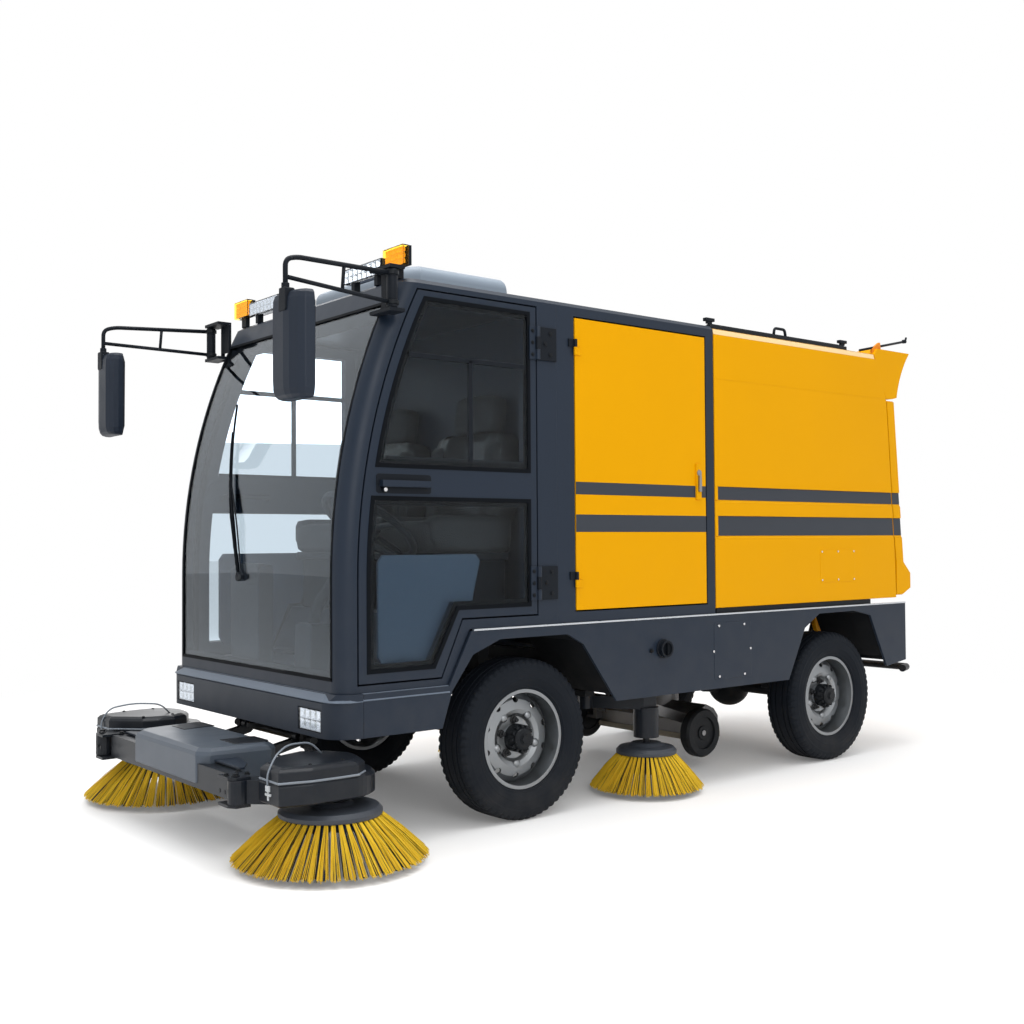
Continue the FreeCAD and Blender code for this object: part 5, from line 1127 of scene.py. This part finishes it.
# %% Headlamps and light bars
HEADLAMP_Y, HEADLAMP_BACK, HEADLAMP_FRONT, HEADLAMP_Z = 496, 1508.5, 1541, (400.5, 476.5)
BAR_Y, BAR_Z = 380, (1976, 2029)
headlamp_depth = (HEADLAMP_BACK, HEADLAMP_FRONT)
head_cups, head_lenses = lamp_row(1533, around(HEADLAMP_Y, 73), (404, 473), 4, 2)
bar_cups, bar_lenses = lamp_row(1254, around(BAR_Y, 124), (1979, 2025), 8, 2)
trays = [block((HEADLAMP_BACK, 1513), around(HEADLAMP_Y, 77.5), HEADLAMP_Z),
         block((1215.5, 1219), around(BAR_Y, 129.5), (1975.5, 2029.5))]
trays += [block(headlamp_depth, around(HEADLAMP_Y, 77.5), z) for z in ((400.5, 404), (473, 476.5))]
trays += [block(headlamp_depth, y, HEADLAMP_Z) for y in flanks(HEADLAMP_Y, 73, 77.5)]
trays += [block((1236, 1258), y, BAR_Z) for y in flanks(BAR_Y, 125, 129)]
trays += [block((1225, 1250), y, (1941, 1978)) for y in flanks(BAR_Y, 66, 88)]
backs = [block((1216, 1243), around(BAR_Y, 129), BAR_Z)]
covers = [block((1537, 1540.5), around(HEADLAMP_Y, 73), (404, 473)),
          block((1256, 1261), around(BAR_Y, 125), (1976.5, 2028.5)),
          block((1240, 1256), around(BAR_Y, 125), (2025, 2028.5))]
fit("headlamp_trays", both_sides(trays), "chassis", "frame_black", GRAINED_BLACK, bevel=0.8,
    instead_of="headlamps")
fit("light_bar_backs", both_sides(backs), "chassis", "bright_rod", CUP_SILVER, bevel=1.0)
fit("headlamp_covers", both_sides(covers), "chassis", "lamp_lens", LAMP_COVER, bevel=1.0)
fit("headlamp_cups", both_sides(head_cups + bar_cups), "chassis", "bright_rod", CUP_SILVER)
fit("headlamp_lenses", both_sides(head_lenses + bar_lenses), "chassis", "lamp_lens", LED_CORE, smooth=True)
print("LED cells:", 2 * len(head_lenses + bar_lenses))

# %% [markdown]
# ## Beacons and tail lamps
# An amber block beacon stands at each front corner of the roof on a short black foot. It is a clear
# amber shell over nine lamp cells. The tail lamps are red bars with an amber end in black frames.

# %% Beacons and tail lamps
BEACON_Y, TAIL_Y = 583, 560


cups, lenses = lamp_row(1252, around(BEACON_Y, 58), (1986, 2047), 3, 3)
trays = [block((1223, 1236), around(BEACON_Y, 62), (1982, 2051)),
         block((1228, 1246), around(BEACON_Y, 20), (1941, 1983))]
outside, inside = upright(around(BEACON_Y, 63), (1981.5, 2051.5)), upright(around(BEACON_Y, 59), (1985, 2048))
covers = [ring(outside, inside, "x", 1236, 1257), slab(outside, "x", 1257, 1261.5)]
fit("beacon_trays", both_sides(trays), "chassis", "frame_black", GRAINED_BLACK, bevel=1.0,
    instead_of="roof_lamps")
fit("beacon_covers", both_sides(covers), "chassis", "beacon_amber", AMBER_GLASS, bevel=1.5)
fit("beacon_cups", both_sides(cups), "chassis", "beacon_amber", AMBER_CORE)
fit("beacon_lenses", both_sides(lenses), "chassis", "beacon_amber", AMBER_CORE, smooth=True)

outside, inside = upright(around(TAIL_Y, 60), (445, 515)), upright(around(TAIL_Y, 54), (451, 509))
tail_frame = [ring(outside, inside, "x", -1630, -1600)]
fit("tail_lamp_frames", both_sides(tail_frame), "chassis", "frame_black", GRAINED_BLACK, bevel=1.5,
    instead_of="tail_lamps")
for name, x, y, z, slot, finish, bevel in (
        ("backs", (-1606, -1601), (504, 616), (449, 511), "bright_rod", CUP_SILVER, 0),
        ("reds", (-1627, -1610), (506.5, 582), (451.5, 508.5), "tail_red", RED_GLASS, 2.0),
        ("ambers", (-1627, -1610), (583, 613.5), (451.5, 508.5), "beacon_amber", AMBER_GLASS, 2.0)):
    fit(f"tail_lamp_{name}", both_sides([block(x, y, z)]), "chassis", slot, finish, bevel=bevel)
print("lamps lit")

# %% [markdown]
# ## Bristles
# A sweeping brush is a steel disc with tufts of wire-stiff nylon set round it, yellow with dark
# strands between. Each tuft is a bundle that is tight at the disc and fans out to the road. The
# packed brush has a closed skirt. Here each tuft is a bundle of thin three-sided strands round a slim
# core, so that light passes between the tufts, and the disc is turned again with its bevelled edge.

# %% Tufts
TUFTS = 46
YELLOW_STRANDS, DARK_STRANDS = 36, 12
TUFT_TOP, TUFT_FOOT = 162, 26
# How far inside the disc's and the tips' radius the innermost strands are, and how far out they reach
ROOT_INSIDE, ROOT_DEPTH = 22, 12
TIP_INSIDE, TIP_DEPTH = 33, 31
TIP_LOW, TIP_RAGGED, TIP_RISE = 21, 7, 4
STRAY, SAG = 0.25, 5
CORE_HALF = 0.026
# Where each kind of brush stands on the left side: x, y, the disc's radius and the tips' radius
BRUSHES = {"front_brush": (1555, 657, 168, 320), "side_brush": (-3, 540, 124, 236)}


def strand(start, end, width, sag):
    """A thin three-sided strand that bows outward between two points."""
    along = (end - start).normalized()
    side = along.cross(Vector((0, 0, 1))).normalized()
    lift = side.cross(along)
    corners = []
    for share in (0.0, 0.5, 1.0):
        middle = start.lerp(end, share) + lift * sag * (1 - (2 * share - 1) ** 2)
        for step in range(3):
            angle = 2 * math.pi * step / 3
            corners.append(tuple(middle + width * (math.cos(angle) * side + math.sin(angle) * lift)))
    return corners, [span(0, 3), span(6, 3)] + walls(0, 3, 3) + walls(3, 6, 3)


def directions(angle):
    """Outward from the brush's middle, and across that."""
    return Vector((math.cos(angle), math.sin(angle), 0)), Vector((-math.sin(angle), math.cos(angle), 0))


def bundle(dice, x, y, angle, disc_radius, tip_radius, count, width, spread_top, spread_tip):
    """The strands of one tuft, spread across its top and its wider tip."""
    out, across = directions(angle)
    centre = Vector((x, y, 0))
    top_half = disc_radius * spread_top / 2
    tip_half = tip_radius * spread_tip / 2
    strands = []
    for _ in range(count):
        place = dice.uniform(-1, 1)
        depth = dice.uniform(0, 1)
        start = centre + out * (disc_radius - ROOT_INSIDE + ROOT_DEPTH * depth) + across * top_half * place
        astray = place + dice.uniform(-STRAY, STRAY)
        end = centre + out * (tip_radius - TIP_INSIDE + TIP_DEPTH * depth) + across * tip_half * astray
        start.z = TUFT_TOP
        end.z = TIP_LOW + dice.uniform(0, TIP_RAGGED) + TIP_RISE * (1 - depth)
        strands.append(strand(start, end, width, dice.uniform(0, SAG)))
    return strands


def core(x, y, angle, disc_radius, tip_radius):
    """A slim bar inside each tuft, which stops light from passing straight through it."""
    out, across = directions(angle)
    corners = []
    for height, near, far, half in ((TUFT_TOP, disc_radius - 21, disc_radius - 11, disc_radius * CORE_HALF),
                                    (TUFT_FOOT, tip_radius - 29, tip_radius - 7, tip_radius * CORE_HALF)):
        for reach, offset in ((near, -half), (far, -half), (far, half), (near, half)):
            corners.append(tuple(Vector((x, y, height)) + out * reach + across * offset))
    return corners, [span(0, 4), span(4, 4)] + walls(0, 4, 4)


def brush_disc(radius):
    return [(14.3, 168), (radius - 30, 168), (radius - 26, 156), (radius - 3, 156), (radius, 159),
            (radius, 171), (radius - 12, 184), (76, 190), (60, 200), (14.3, 200)]


# %% Brushes
for brush, (x, y, disc_radius, tip_radius) in BRUSHES.items():
    plate = turned(brush_disc(disc_radius), (x, y, 0), "z", 64)
    pair(f"{brush}_disc", plate, brush + "_{s}", "bristle_yellow", DISC_GREY, brush + "_{side}", bevel=1.2)
    for side_name, side in SIDES.items():
        dice = random.Random(len(brush) + side)
        yellow, dark = [], []
        for number in range(TUFTS):
            angle = 2 * math.pi * number / TUFTS
            between = angle + math.pi / TUFTS
            yellow += bundle(dice, x, y, angle, disc_radius, tip_radius, YELLOW_STRANDS, 1.15, 0.062, 0.100)
            dark += bundle(dice, x, y, between, disc_radius - 6, tip_radius - 7, DARK_STRANDS, 1.3, 0.085,
                           0.120)
            dark.append(core(x, y, angle, disc_radius - 4, tip_radius - 6))
        for name, strands, finish in (("yellow", yellow, BRISTLE_YELLOW), ("dark", dark, BRISTLE_DARK)):
            fit(f"{brush}_{name}_bristles_{side_name}", on_side(together(strands), side),
                f"{brush}_{side_name[0]}", "bristle_yellow", finish)
print("strands in one brush:", TUFTS * (YELLOW_STRANDS + DARK_STRANDS))

# %% [markdown]
# ## Broom covers, bolts and cables
# The broom's cross beam is hidden by a moulded slate hood, and each brush motor by a two-step cover
# whose seam is painted pale grey as a painted highlight along its edge. The imported hood and covers
# are simpler and a little smaller or taller, so fuller ones take their place. Bolts hold the clevises,
# and a cable loops over each cover to a pale clip.

# %% Hood
HOOD = [(1840, -262), (1840, 262), (1806, 300), (1590, 320), (1562, 296), (1562, -296), (1590, -320),
        (1806, -300)]


def grown(outline, amount):
    """The outline with each corner moved diagonally away from its middle, or towards it."""
    middle = [sum(values) / len(outline) for values in zip(*outline)]
    return [tuple(value + amount * math.copysign(1, value - centre) for value, centre in zip(point, middle))
            for point in outline]


hood = stepped([(228, grown(HOOD, -4)), (234, HOOD), (322, HOOD), (334, grown(HOOD, -5)),
                (345, grown(HOOD, -20))])
fit("broom_hood", hood, "broom", "slate_paint", COVER_SLATE, bevel=3.0, segments=3)
# Black plates on the hood's top rear corners are painted shade, where the hood has a dark recess.
recess_shade_plate = slab([(1700, 150), (1700, 262), (1590, 290), (1575, 270), (1575, 160)], "z", 344.2, 347)
fit("hood_recess_shade_plates", both_sides([recess_shade_plate]), "broom", "frame_black", BROOM_BLACK, bevel=1.0)

# %% Link plates and clevis bolts
link = slab([(1711, 279), (1790, 279), (1790, 484), (1770, 484), (1735, 430), (1722, 380), (1711, 320)],
            "z", 300.6, 308)
fasteners = [bolt(x, y, 300, "z", 8, 7) for x, y in ((1800, 500), (1800, 560), (1862, 540))]
fasteners += [hexagon(8, 1872.6, 1874.8, (0, y, 252), "x") for y in (520, 556)]
fasteners += [disc(15, 300, 303, (1847, 574, 0), "z", 24), hexagon(11, 303, 311, (1847, 574, 0))]
fit("broom_link_plates", both_sides([link]), "broom", "slate_paint", SLATE, bevel=1.5)
fit("clevis_bolts", both_sides(fasteners), "broom", "frame_black", CAST_BLACK, bevel=0.6)

# %% Arms and motor covers
ARM = "broom_arm_{s}"
MOTOR = (1555, 657, 0)
ARM_BAR = [(1821, 548)] + bowed((1821, 548), (1871, 576), (1821, 602)) + [(1705, 717), (1675, 587)]
DRUM = [(1800, 640), (1800, 770), (1700, 800), (1555, 800)]
DRUM += bowed((1555, 800), (1412, 657), (1555, 514), 24) + [(1700, 540)]
LID = [(1797, 642), (1799, 767), (1699, 795), (1600, 799), (1537, 798), (1490, 760), (1471, 700), (1471, 629),
       (1510, 560), (1577, 516), (1640, 524), (1701, 543)]
covers = [slab(ARM_BAR, "z", 215, 290),
          stepped([(226, grown(DRUM, -6)), (231, DRUM), (288, DRUM), (299, grown(DRUM, -9))])]
pair("motor_drum", together(covers), ARM, "broom_black", BROOM_BLACK, "broom_arm_{side}", bevel=2.5)
lid = stepped([(292, LID), (331, LID), (339, grown(LID, -7)), (345, grown(LID, -18))])
pair("motor_lid", lid, ARM, "broom_black", BROOM_BLACK, bevel=2.0)
# The seam's pale grey is a painted highlight along the lid's lower edge.
seam = stepped([(296, grown(LID, 1.5)), (300, grown(LID, 3.5)), (303, grown(LID, 1.5))])
pair("motor_seam", seam, ARM, "rim_silver", SEAM_HIGHLIGHT_AND_CABLE_GREY)
shaft = [disc(30, 205, 229, MOTOR, "z", 28), disc(15, 172, 206, MOTOR, "z", 20)]
pair("motor_shaft", together(shaft), ARM, "bright_rod", DULL_STEEL, bevel=1.0)
cable = [(1560, 610, 343), (1600, 608, 384), (1700, 640, 392), (1776, 700, 372), (1806, 706, 318),
         (1803, 704, 282)]
pair("motor_cable", swept(rounded_path(cable, 40), 3.2), ARM, "rim_silver", SEAM_HIGHLIGHT_AND_CABLE_GREY, smooth=True)
clip = [block((1799, 1807), (694, 716), (268, 286)), block((1799, 1805), (688, 722), (254, 262)),
        block((1799, 1804), (701, 709), (240, 270))]
pair("motor_clip", together(clip), ARM, "bright_rod", CLIP_PALE, bevel=1.5)
heads = [bolt(x, y, 345, "z", 5, 3.5) for x, y in ((1570, 560), (1570, 760), (1690, 560), (1690, 765))]
pair("motor_bolts", together(heads), ARM, "frame_black", CAST_BLACK, bevel=0.6)
print("broom dressed")

# %% [markdown]
# ## The hopper's top edge
# Along the top of the hopper's left side runs a dark rail under the lid's two T-shaped knobs, with a
# grab loop at its middle. A stay bar with a hooked end leans back over an orange bracket. The lid
# itself is a dark sheet with pressed ribs, and the tailgate has two handles, latches and a bare plate.

# %% Top rail and lid ribs
rail = [block((-1280, -330), (600, 622), (1950.2, 1956))]
for x in (-330, -1275):
    rail += [block(around(x, 27), (604, 624), (1966, 1980)), block(around(x, 15), (608, 620), (1956, 1967))]
loop = rounded_path([(-764, 614, 1954), (-770, 614, 1985), (-842, 614, 1985), (-848, 614, 1954)], 14)
fit("hopper_top_rail", together(rail), "lid", "lid_black", GRAINED_BLACK, bevel=1.0)
fit("lid_grab_loop", swept(loop, 6.5, 10), "lid", "lid_black", GRAINED_BLACK, smooth=True)
stay = [swept([(-1400, 626, 1944), (-1790, 626, 2026)], 6, 10),
        swept([(-1790, 626, 2026), (-1797, 626, 2046)], 5, 10), disc(10, -8, 8, (-1780, 626, 2025), "y", 16)]
fit("hopper_stay_bar", together(stay), "hopper", "lid_black", GRAINED_BLACK, smooth=True)
bracket = [(-1494, 1934), (-1494, 1962), (-1552, 1996), (-1560, 1996), (-1566, 1958), (-1520, 1956)]
fit("stay_bracket", slab(bracket, "y", 622, 634), "hopper", "beacon_amber", BRACKET_ORANGE, bevel=1.0)
ribs = [block((x, x + 46), (-560, 560), (1950.2, 1955)) for x in range(-1240, -360, 160)]
fit("hopper_lid_ribs", together(ribs), "lid", "lid_black", FRAME_BLACK, bevel=2.0)

# %% Tailgate handles, latches and plate
handle = rounded_path([(-1700, 380, 1150), (-1735, 380, 1150), (-1735, 500, 1150), (-1700, 500, 1150)], 18)
fit("tailgate_handles", both_sides([swept(handle, 8, 10)]), "tailgate", "frame_black", GRAINED_BLACK,
    smooth=True)
latch = [block((-1722, -1704), (592, 628), (960, 1040)), disc(9, -1740, -1718, (0, 610, 1000), "x", 16)]
fit("tailgate_latches", both_sides(latch), "tailgate", "frame_black", CAST_BLACK, bevel=2.0)
plate = block((-1774.2, -1771.4), (-220, 220), (792, 852))
fit("rear_number_plate", plate, "tailgate", "rim_silver", CLIP_PALE, bevel=1.0)
screws = [disc(4, -1775, -1773.6, (0, 200, z), "x", 12) for z in (802, 842)]
fit("rear_plate_screws", both_sides(screws), "tailgate", "bright_rod", BRIGHT_STEEL)
print("hopper dressed")

# %% [markdown]
# ## Inside the cab
# The seats are covered foam: a cushion with side bolsters, a tall back and a headrest, on a boxed
# base. Each is built as a stack of rounded outlines, so that it swells in the middle as foam does.
# New seats keep their clear wrapping, which shows as a loose glossy skin.

# %% Foam seats
SEAT_Y = 300
SEAT_LEAN = math.radians(-7)
PILLOW_CORNER, PILLOW_SWELL = 0.3, 0.28
BACK_PIVOT_X, BACK_PIVOT_Z = 715, 1090
WRAP_SLACK, WRAP_CREASE = 4, 9


def squarish(value):
    """A sine or cosine pushed outward, which makes a circle a square with rounded corners."""
    return math.copysign(abs(value) ** PILLOW_CORNER, value)


def pillow(x, y, z, rows=6, steps=24):
    """A soft block between two planes on each axis: superellipse rings that bulge at mid height."""
    middle = ((x[0] + x[1]) / 2, (y[0] + y[1]) / 2)
    half = ((x[1] - x[0]) / 2, (y[1] - y[0]) / 2)
    corners, faces = [], []
    for row in range(rows + 1):
        share = row / rows
        height = z[0] + (z[1] - z[0]) * (0.5 - 0.5 * math.cos(math.pi * share))
        fullness = 1 - PILLOW_SWELL * abs(2 * share - 1) ** 4
        for step in range(steps):
            angle = 2 * math.pi * step / steps
            corners.append((middle[0] + half[0] * fullness * squarish(math.cos(angle)),
                            middle[1] + half[1] * fullness * squarish(math.sin(angle)), height))
    for row in range(rows):
        faces += walls(row * steps, (row + 1) * steps, steps)
    return corners, faces + [span(0, steps), span(rows * steps, steps)]


def crumpled(shape, centre, seed):
    """The shape grown a little and creased, as loose wrapping is."""
    dice = random.Random(seed)
    corners, faces = shape
    loose = []
    for corner in corners:
        away = (Vector(corner) - Vector(centre)).normalized()
        loose.append(tuple(Vector(corner) + away * (WRAP_SLACK + WRAP_CREASE * dice.random())))
    return loose, faces


def leaned(shape, y):
    """The shape leaned back with the seat's back."""
    return spun(shape, (BACK_PIVOT_X, y, BACK_PIVOT_Z), "Y", SEAT_LEAN)


for side_name, side in SIDES.items():
    y = SEAT_Y * side
    cushion = [pillow((655, 1060), around(y, 215), (985, 1108), 8, 36)]
    cushion += [pillow((675, 1045), around(y + edge, 34), (1010, 1128)) for edge in (-180, 180)]
    back = [pillow((655, 775), around(y, 210), (1070, 1440), 9, 36),
            pillow((676, 762), around(y, 125), (1450, 1600), 6, 28)]
    back += [pillow((700, 800), around(y + edge, 30), (1110, 1400)) for edge in (-176, 176)]
    for name, shape in (("cushion", together(cushion)), ("back", leaned(together(back), y))):
        foam = fit(f"seat_{name}_{side_name}", shape, "chassis", "seat_vinyl", SEAT_CLOTH, smooth=True,
                   instead_of="seats" if side == LEFT else None)
    base = [block((700, 1010), around(y, 198), (755, 960)), block((690, 1040), around(y, 205), (958, 990)),
            block((672, 700), around(y, 190), (985, 1120))]
    fit(f"seat_base_{side_name}", together(base), "chassis", "dash_plastic", GRAINED_BLACK, bevel=6.0)
    posts = [disc(6, 1425, 1470, (712, y + edge, 0), "z", 12) for edge in (-50, 50)]
    fit(f"headrest_posts_{side_name}", leaned(together(posts), y), "chassis", "bright_rod", BRIGHT_STEEL,
        smooth=True)
    wrap = leaned(pillow((660, 778), around(y, 214), (1100, 1440), 14, 44), y)
    wrap = crumpled(wrap, (BACK_PIVOT_X, y, 1270), 3 + side)
    fit(f"seat_wrap_{side_name}", wrap, "chassis", "tinted_glass", WRAP_CLEAR)
print("seats fitted")

# %% [markdown]
# ## Controls and cab lining
# Behind the windscreen stands a dark pillar with the wiper motor, and the steering column rises
# from its own foot. Controls, pedals and grab handles fill the front of the cab, and a dark blue
# lining covers the doors below their handles.

# %% Pillar, column, pedals and lining
pillar = [slab([(1413, 567), (1475, 567), (1475, 930), (1462, 945), (1425, 945), (1413, 930)], "y", -229, 5),
          block((1440, 1476), (-155, -2), (872, 953)), block((1407, 1415), (-200, -20), (620, 900)),
          block((1409, 1446), (-215, -10), (935, 949)),
          slab([(1360, 567), (1460, 567), (1452, 745), (1378, 745)], "y", 242, 358)]
fit("dash_pillar", together(pillar), "chassis", "dash_plastic", DASH_PLASTIC, bevel=4.0,
    instead_of="dashboard")
column = [(1412, SEAT_Y, 720), (1400, SEAT_Y, 800), (1345, SEAT_Y, 870), (1205, SEAT_Y, 1056.7)]
fit("steering_column", swept(rounded_path(column, 60), 21, 16), "chassis", "dash_plastic", GRAINED_BLACK,
    smooth=True)
controls = [block((1398, 1408), (-190, -40), (760, 860))]
controls += [disc(16, 1398, 1408, (0, y, 700), "x", 20) for y in (-60, -112, -164)]
fit("pillar_controls", together(controls), "chassis", "dash_plastic", GRAINED_BLACK, bevel=2.0)
pedals = []
for y in (215, 385):
    pedals += [spun(block((1318, 1330), around(y, 32), (600, 705)), (1324, y, 600), "Y", math.radians(24)),
               block((1330, 1400), around(y, 9), (568, 584)), block((1316, 1334), around(y, 9), (568, 606))]
fit("pedals", together(pedals), "chassis", "dash_plastic", SEAL_RUBBER, bevel=2.0)
lining = [(1327, 609), (1071, 609), (955, 784), (910, 962), (930, 985), (1327, 985), (1345, 960), (1345, 640)]
pair("door_lining", slab(lining, "y", 602, 613), CAB_DOOR, "dash_plastic", INNER_BLUE, bevel=3.0)
grip = rounded_path([(1120, 615, 1215), (1120, 590, 1225), (1330, 590, 1225), (1330, 615, 1215)], 20)
pair("door_grip", swept(grip, 9, 10), CAB_DOOR, "dash_plastic", GRAINED_BLACK, smooth=True)
stalks = [swept([(1238, SEAT_Y, 1012), (1236, SEAT_Y + turn * 80, 1026),
                 (1232, SEAT_Y + turn * 125, 1038)], 6) for turn in (1, -1)]
fit("column_stalks", together(stalks), "chassis", "dash_plastic", GRAINED_BLACK, smooth=True)
print("cab fitted out")

# %% [markdown]
# ## Wiper, charging socket and bumper ledge
# The wiper's arm ends at a joint, and its long rubber blade leans across the glass beside it, with a
# thin guide rod parallel to the arm. The charging socket gets a cap and a small button beside it. A
# ledge with a slanting face runs round the top of the bumper, and its paler paint is a painted
# highlight where the sky would light the slant.

# %% Wiper blade and guide rod
BLADE_STEPS = 10
BLADE_LOW, BLADE_HIGH = Vector((-118, 1010)), Vector((-298, 1575))


def off_glass(y, z, distance):
    """A place in front of the windscreen."""
    return front_x(-distance, z), y, z


blade = [off_glass(*BLADE_LOW.lerp(BLADE_HIGH, step / BLADE_STEPS), 6) for step in range(BLADE_STEPS + 1)]
spine = [(x + 6, y, z) for x, y, z in blade[2:-2]]
rods = [swept(blade, 4.5), swept(spine, 3.5),
        swept([(1519, -77, 904), off_glass(-135, 1131, 12), off_glass(-208, 1292, 11)], 5, 10)]
fit("wiper_blade", together(rods), "chassis", "wiper_black", SEAL_RUBBER)
guide = [swept([(1519, -52, 904), off_glass(-98, 1100, 12), off_glass(-172, 1240, 11)], 3),
         disc(11, 1512, 1526, (0, -52, 904), "x", 16), disc(17, 1512, 1524, (0, -77, 904), "x", 24)]
fit("wiper_guide", together(guide), "chassis", "wiper_black", GRAINED_BLACK)

# %% Socket cap, button and bumper ledge
SOCKET = (19, 0, 593)
BUTTON = (88, 0, 588)
BUMPER_REAR_X = 1434
BUMPER_PLAN = [(BUMPER_REAR_X, 663.2), (1486, 663.2), (1508, 652), (1524, 638), (1536, 616), (1543.4, 588)]
cap = [turned([(0.2, 684), (24, 684), (25.6, 686), (25.6, 680), (0.2, 680)], SOCKET, "y"),
       block((14, 24), (684, 692), (570, 616))]
fit("socket_cap", together(cap), "chassis", "socket_black", SEAL_RUBBER, bevel=0.8)
button = [disc(9, 661, 668, BUTTON, "y", 20), disc(6, 667, 674, BUTTON, "y", 20)]
fit("socket_button", together(button), "chassis", "socket_black", CAST_BLACK, bevel=0.8)
socket_ring = turned([(34.2, 663), (39, 663), (39, 667), (34.2, 669)], SOCKET, "y", 40)
fit("socket_ring", socket_ring, "chassis", "socket_black", GRAINED_BLACK)


def bumper_line(inset):
    """The bumper's plan from its left rear corner round to its right one, moved inward."""
    half = [(max(x - inset, BUMPER_REAR_X), y - inset) for x, y in BUMPER_PLAN]
    return half + [(x, -y) for x, y in reversed(half)]


def lofted_bar(levels):
    """A bar whose edges follow one outline at each level, joined in turn and closed at both ends."""
    count = len(levels[0][1])
    corners = [(x, y, height) for height, outline in levels for x, y in outline]
    starts = [level * count for level in range(len(levels))]
    faces = [(low + here, low + here + 1, high + here + 1, high + here)
             for low, high in zip(starts, starts[1:] + starts[:1]) for here in range(count - 1)]
    return corners, faces + [tuple(starts), tuple(start + count - 1 for start in starts)]


# The ledge's paler slate is a painted highlight on its slanting face.
ledge = lofted_bar([(height, bumper_line(inset)) for height, inset in (
    (503, 1.0), (504, 0), (506, 0), (530.4, 27), (530.4, 34), (500, 20))])
fit("bumper_ledge", ledge, "chassis", "slate_paint", LEDGE_HIGHLIGHT_SLATE, bevel=0.8)
print("small parts on")
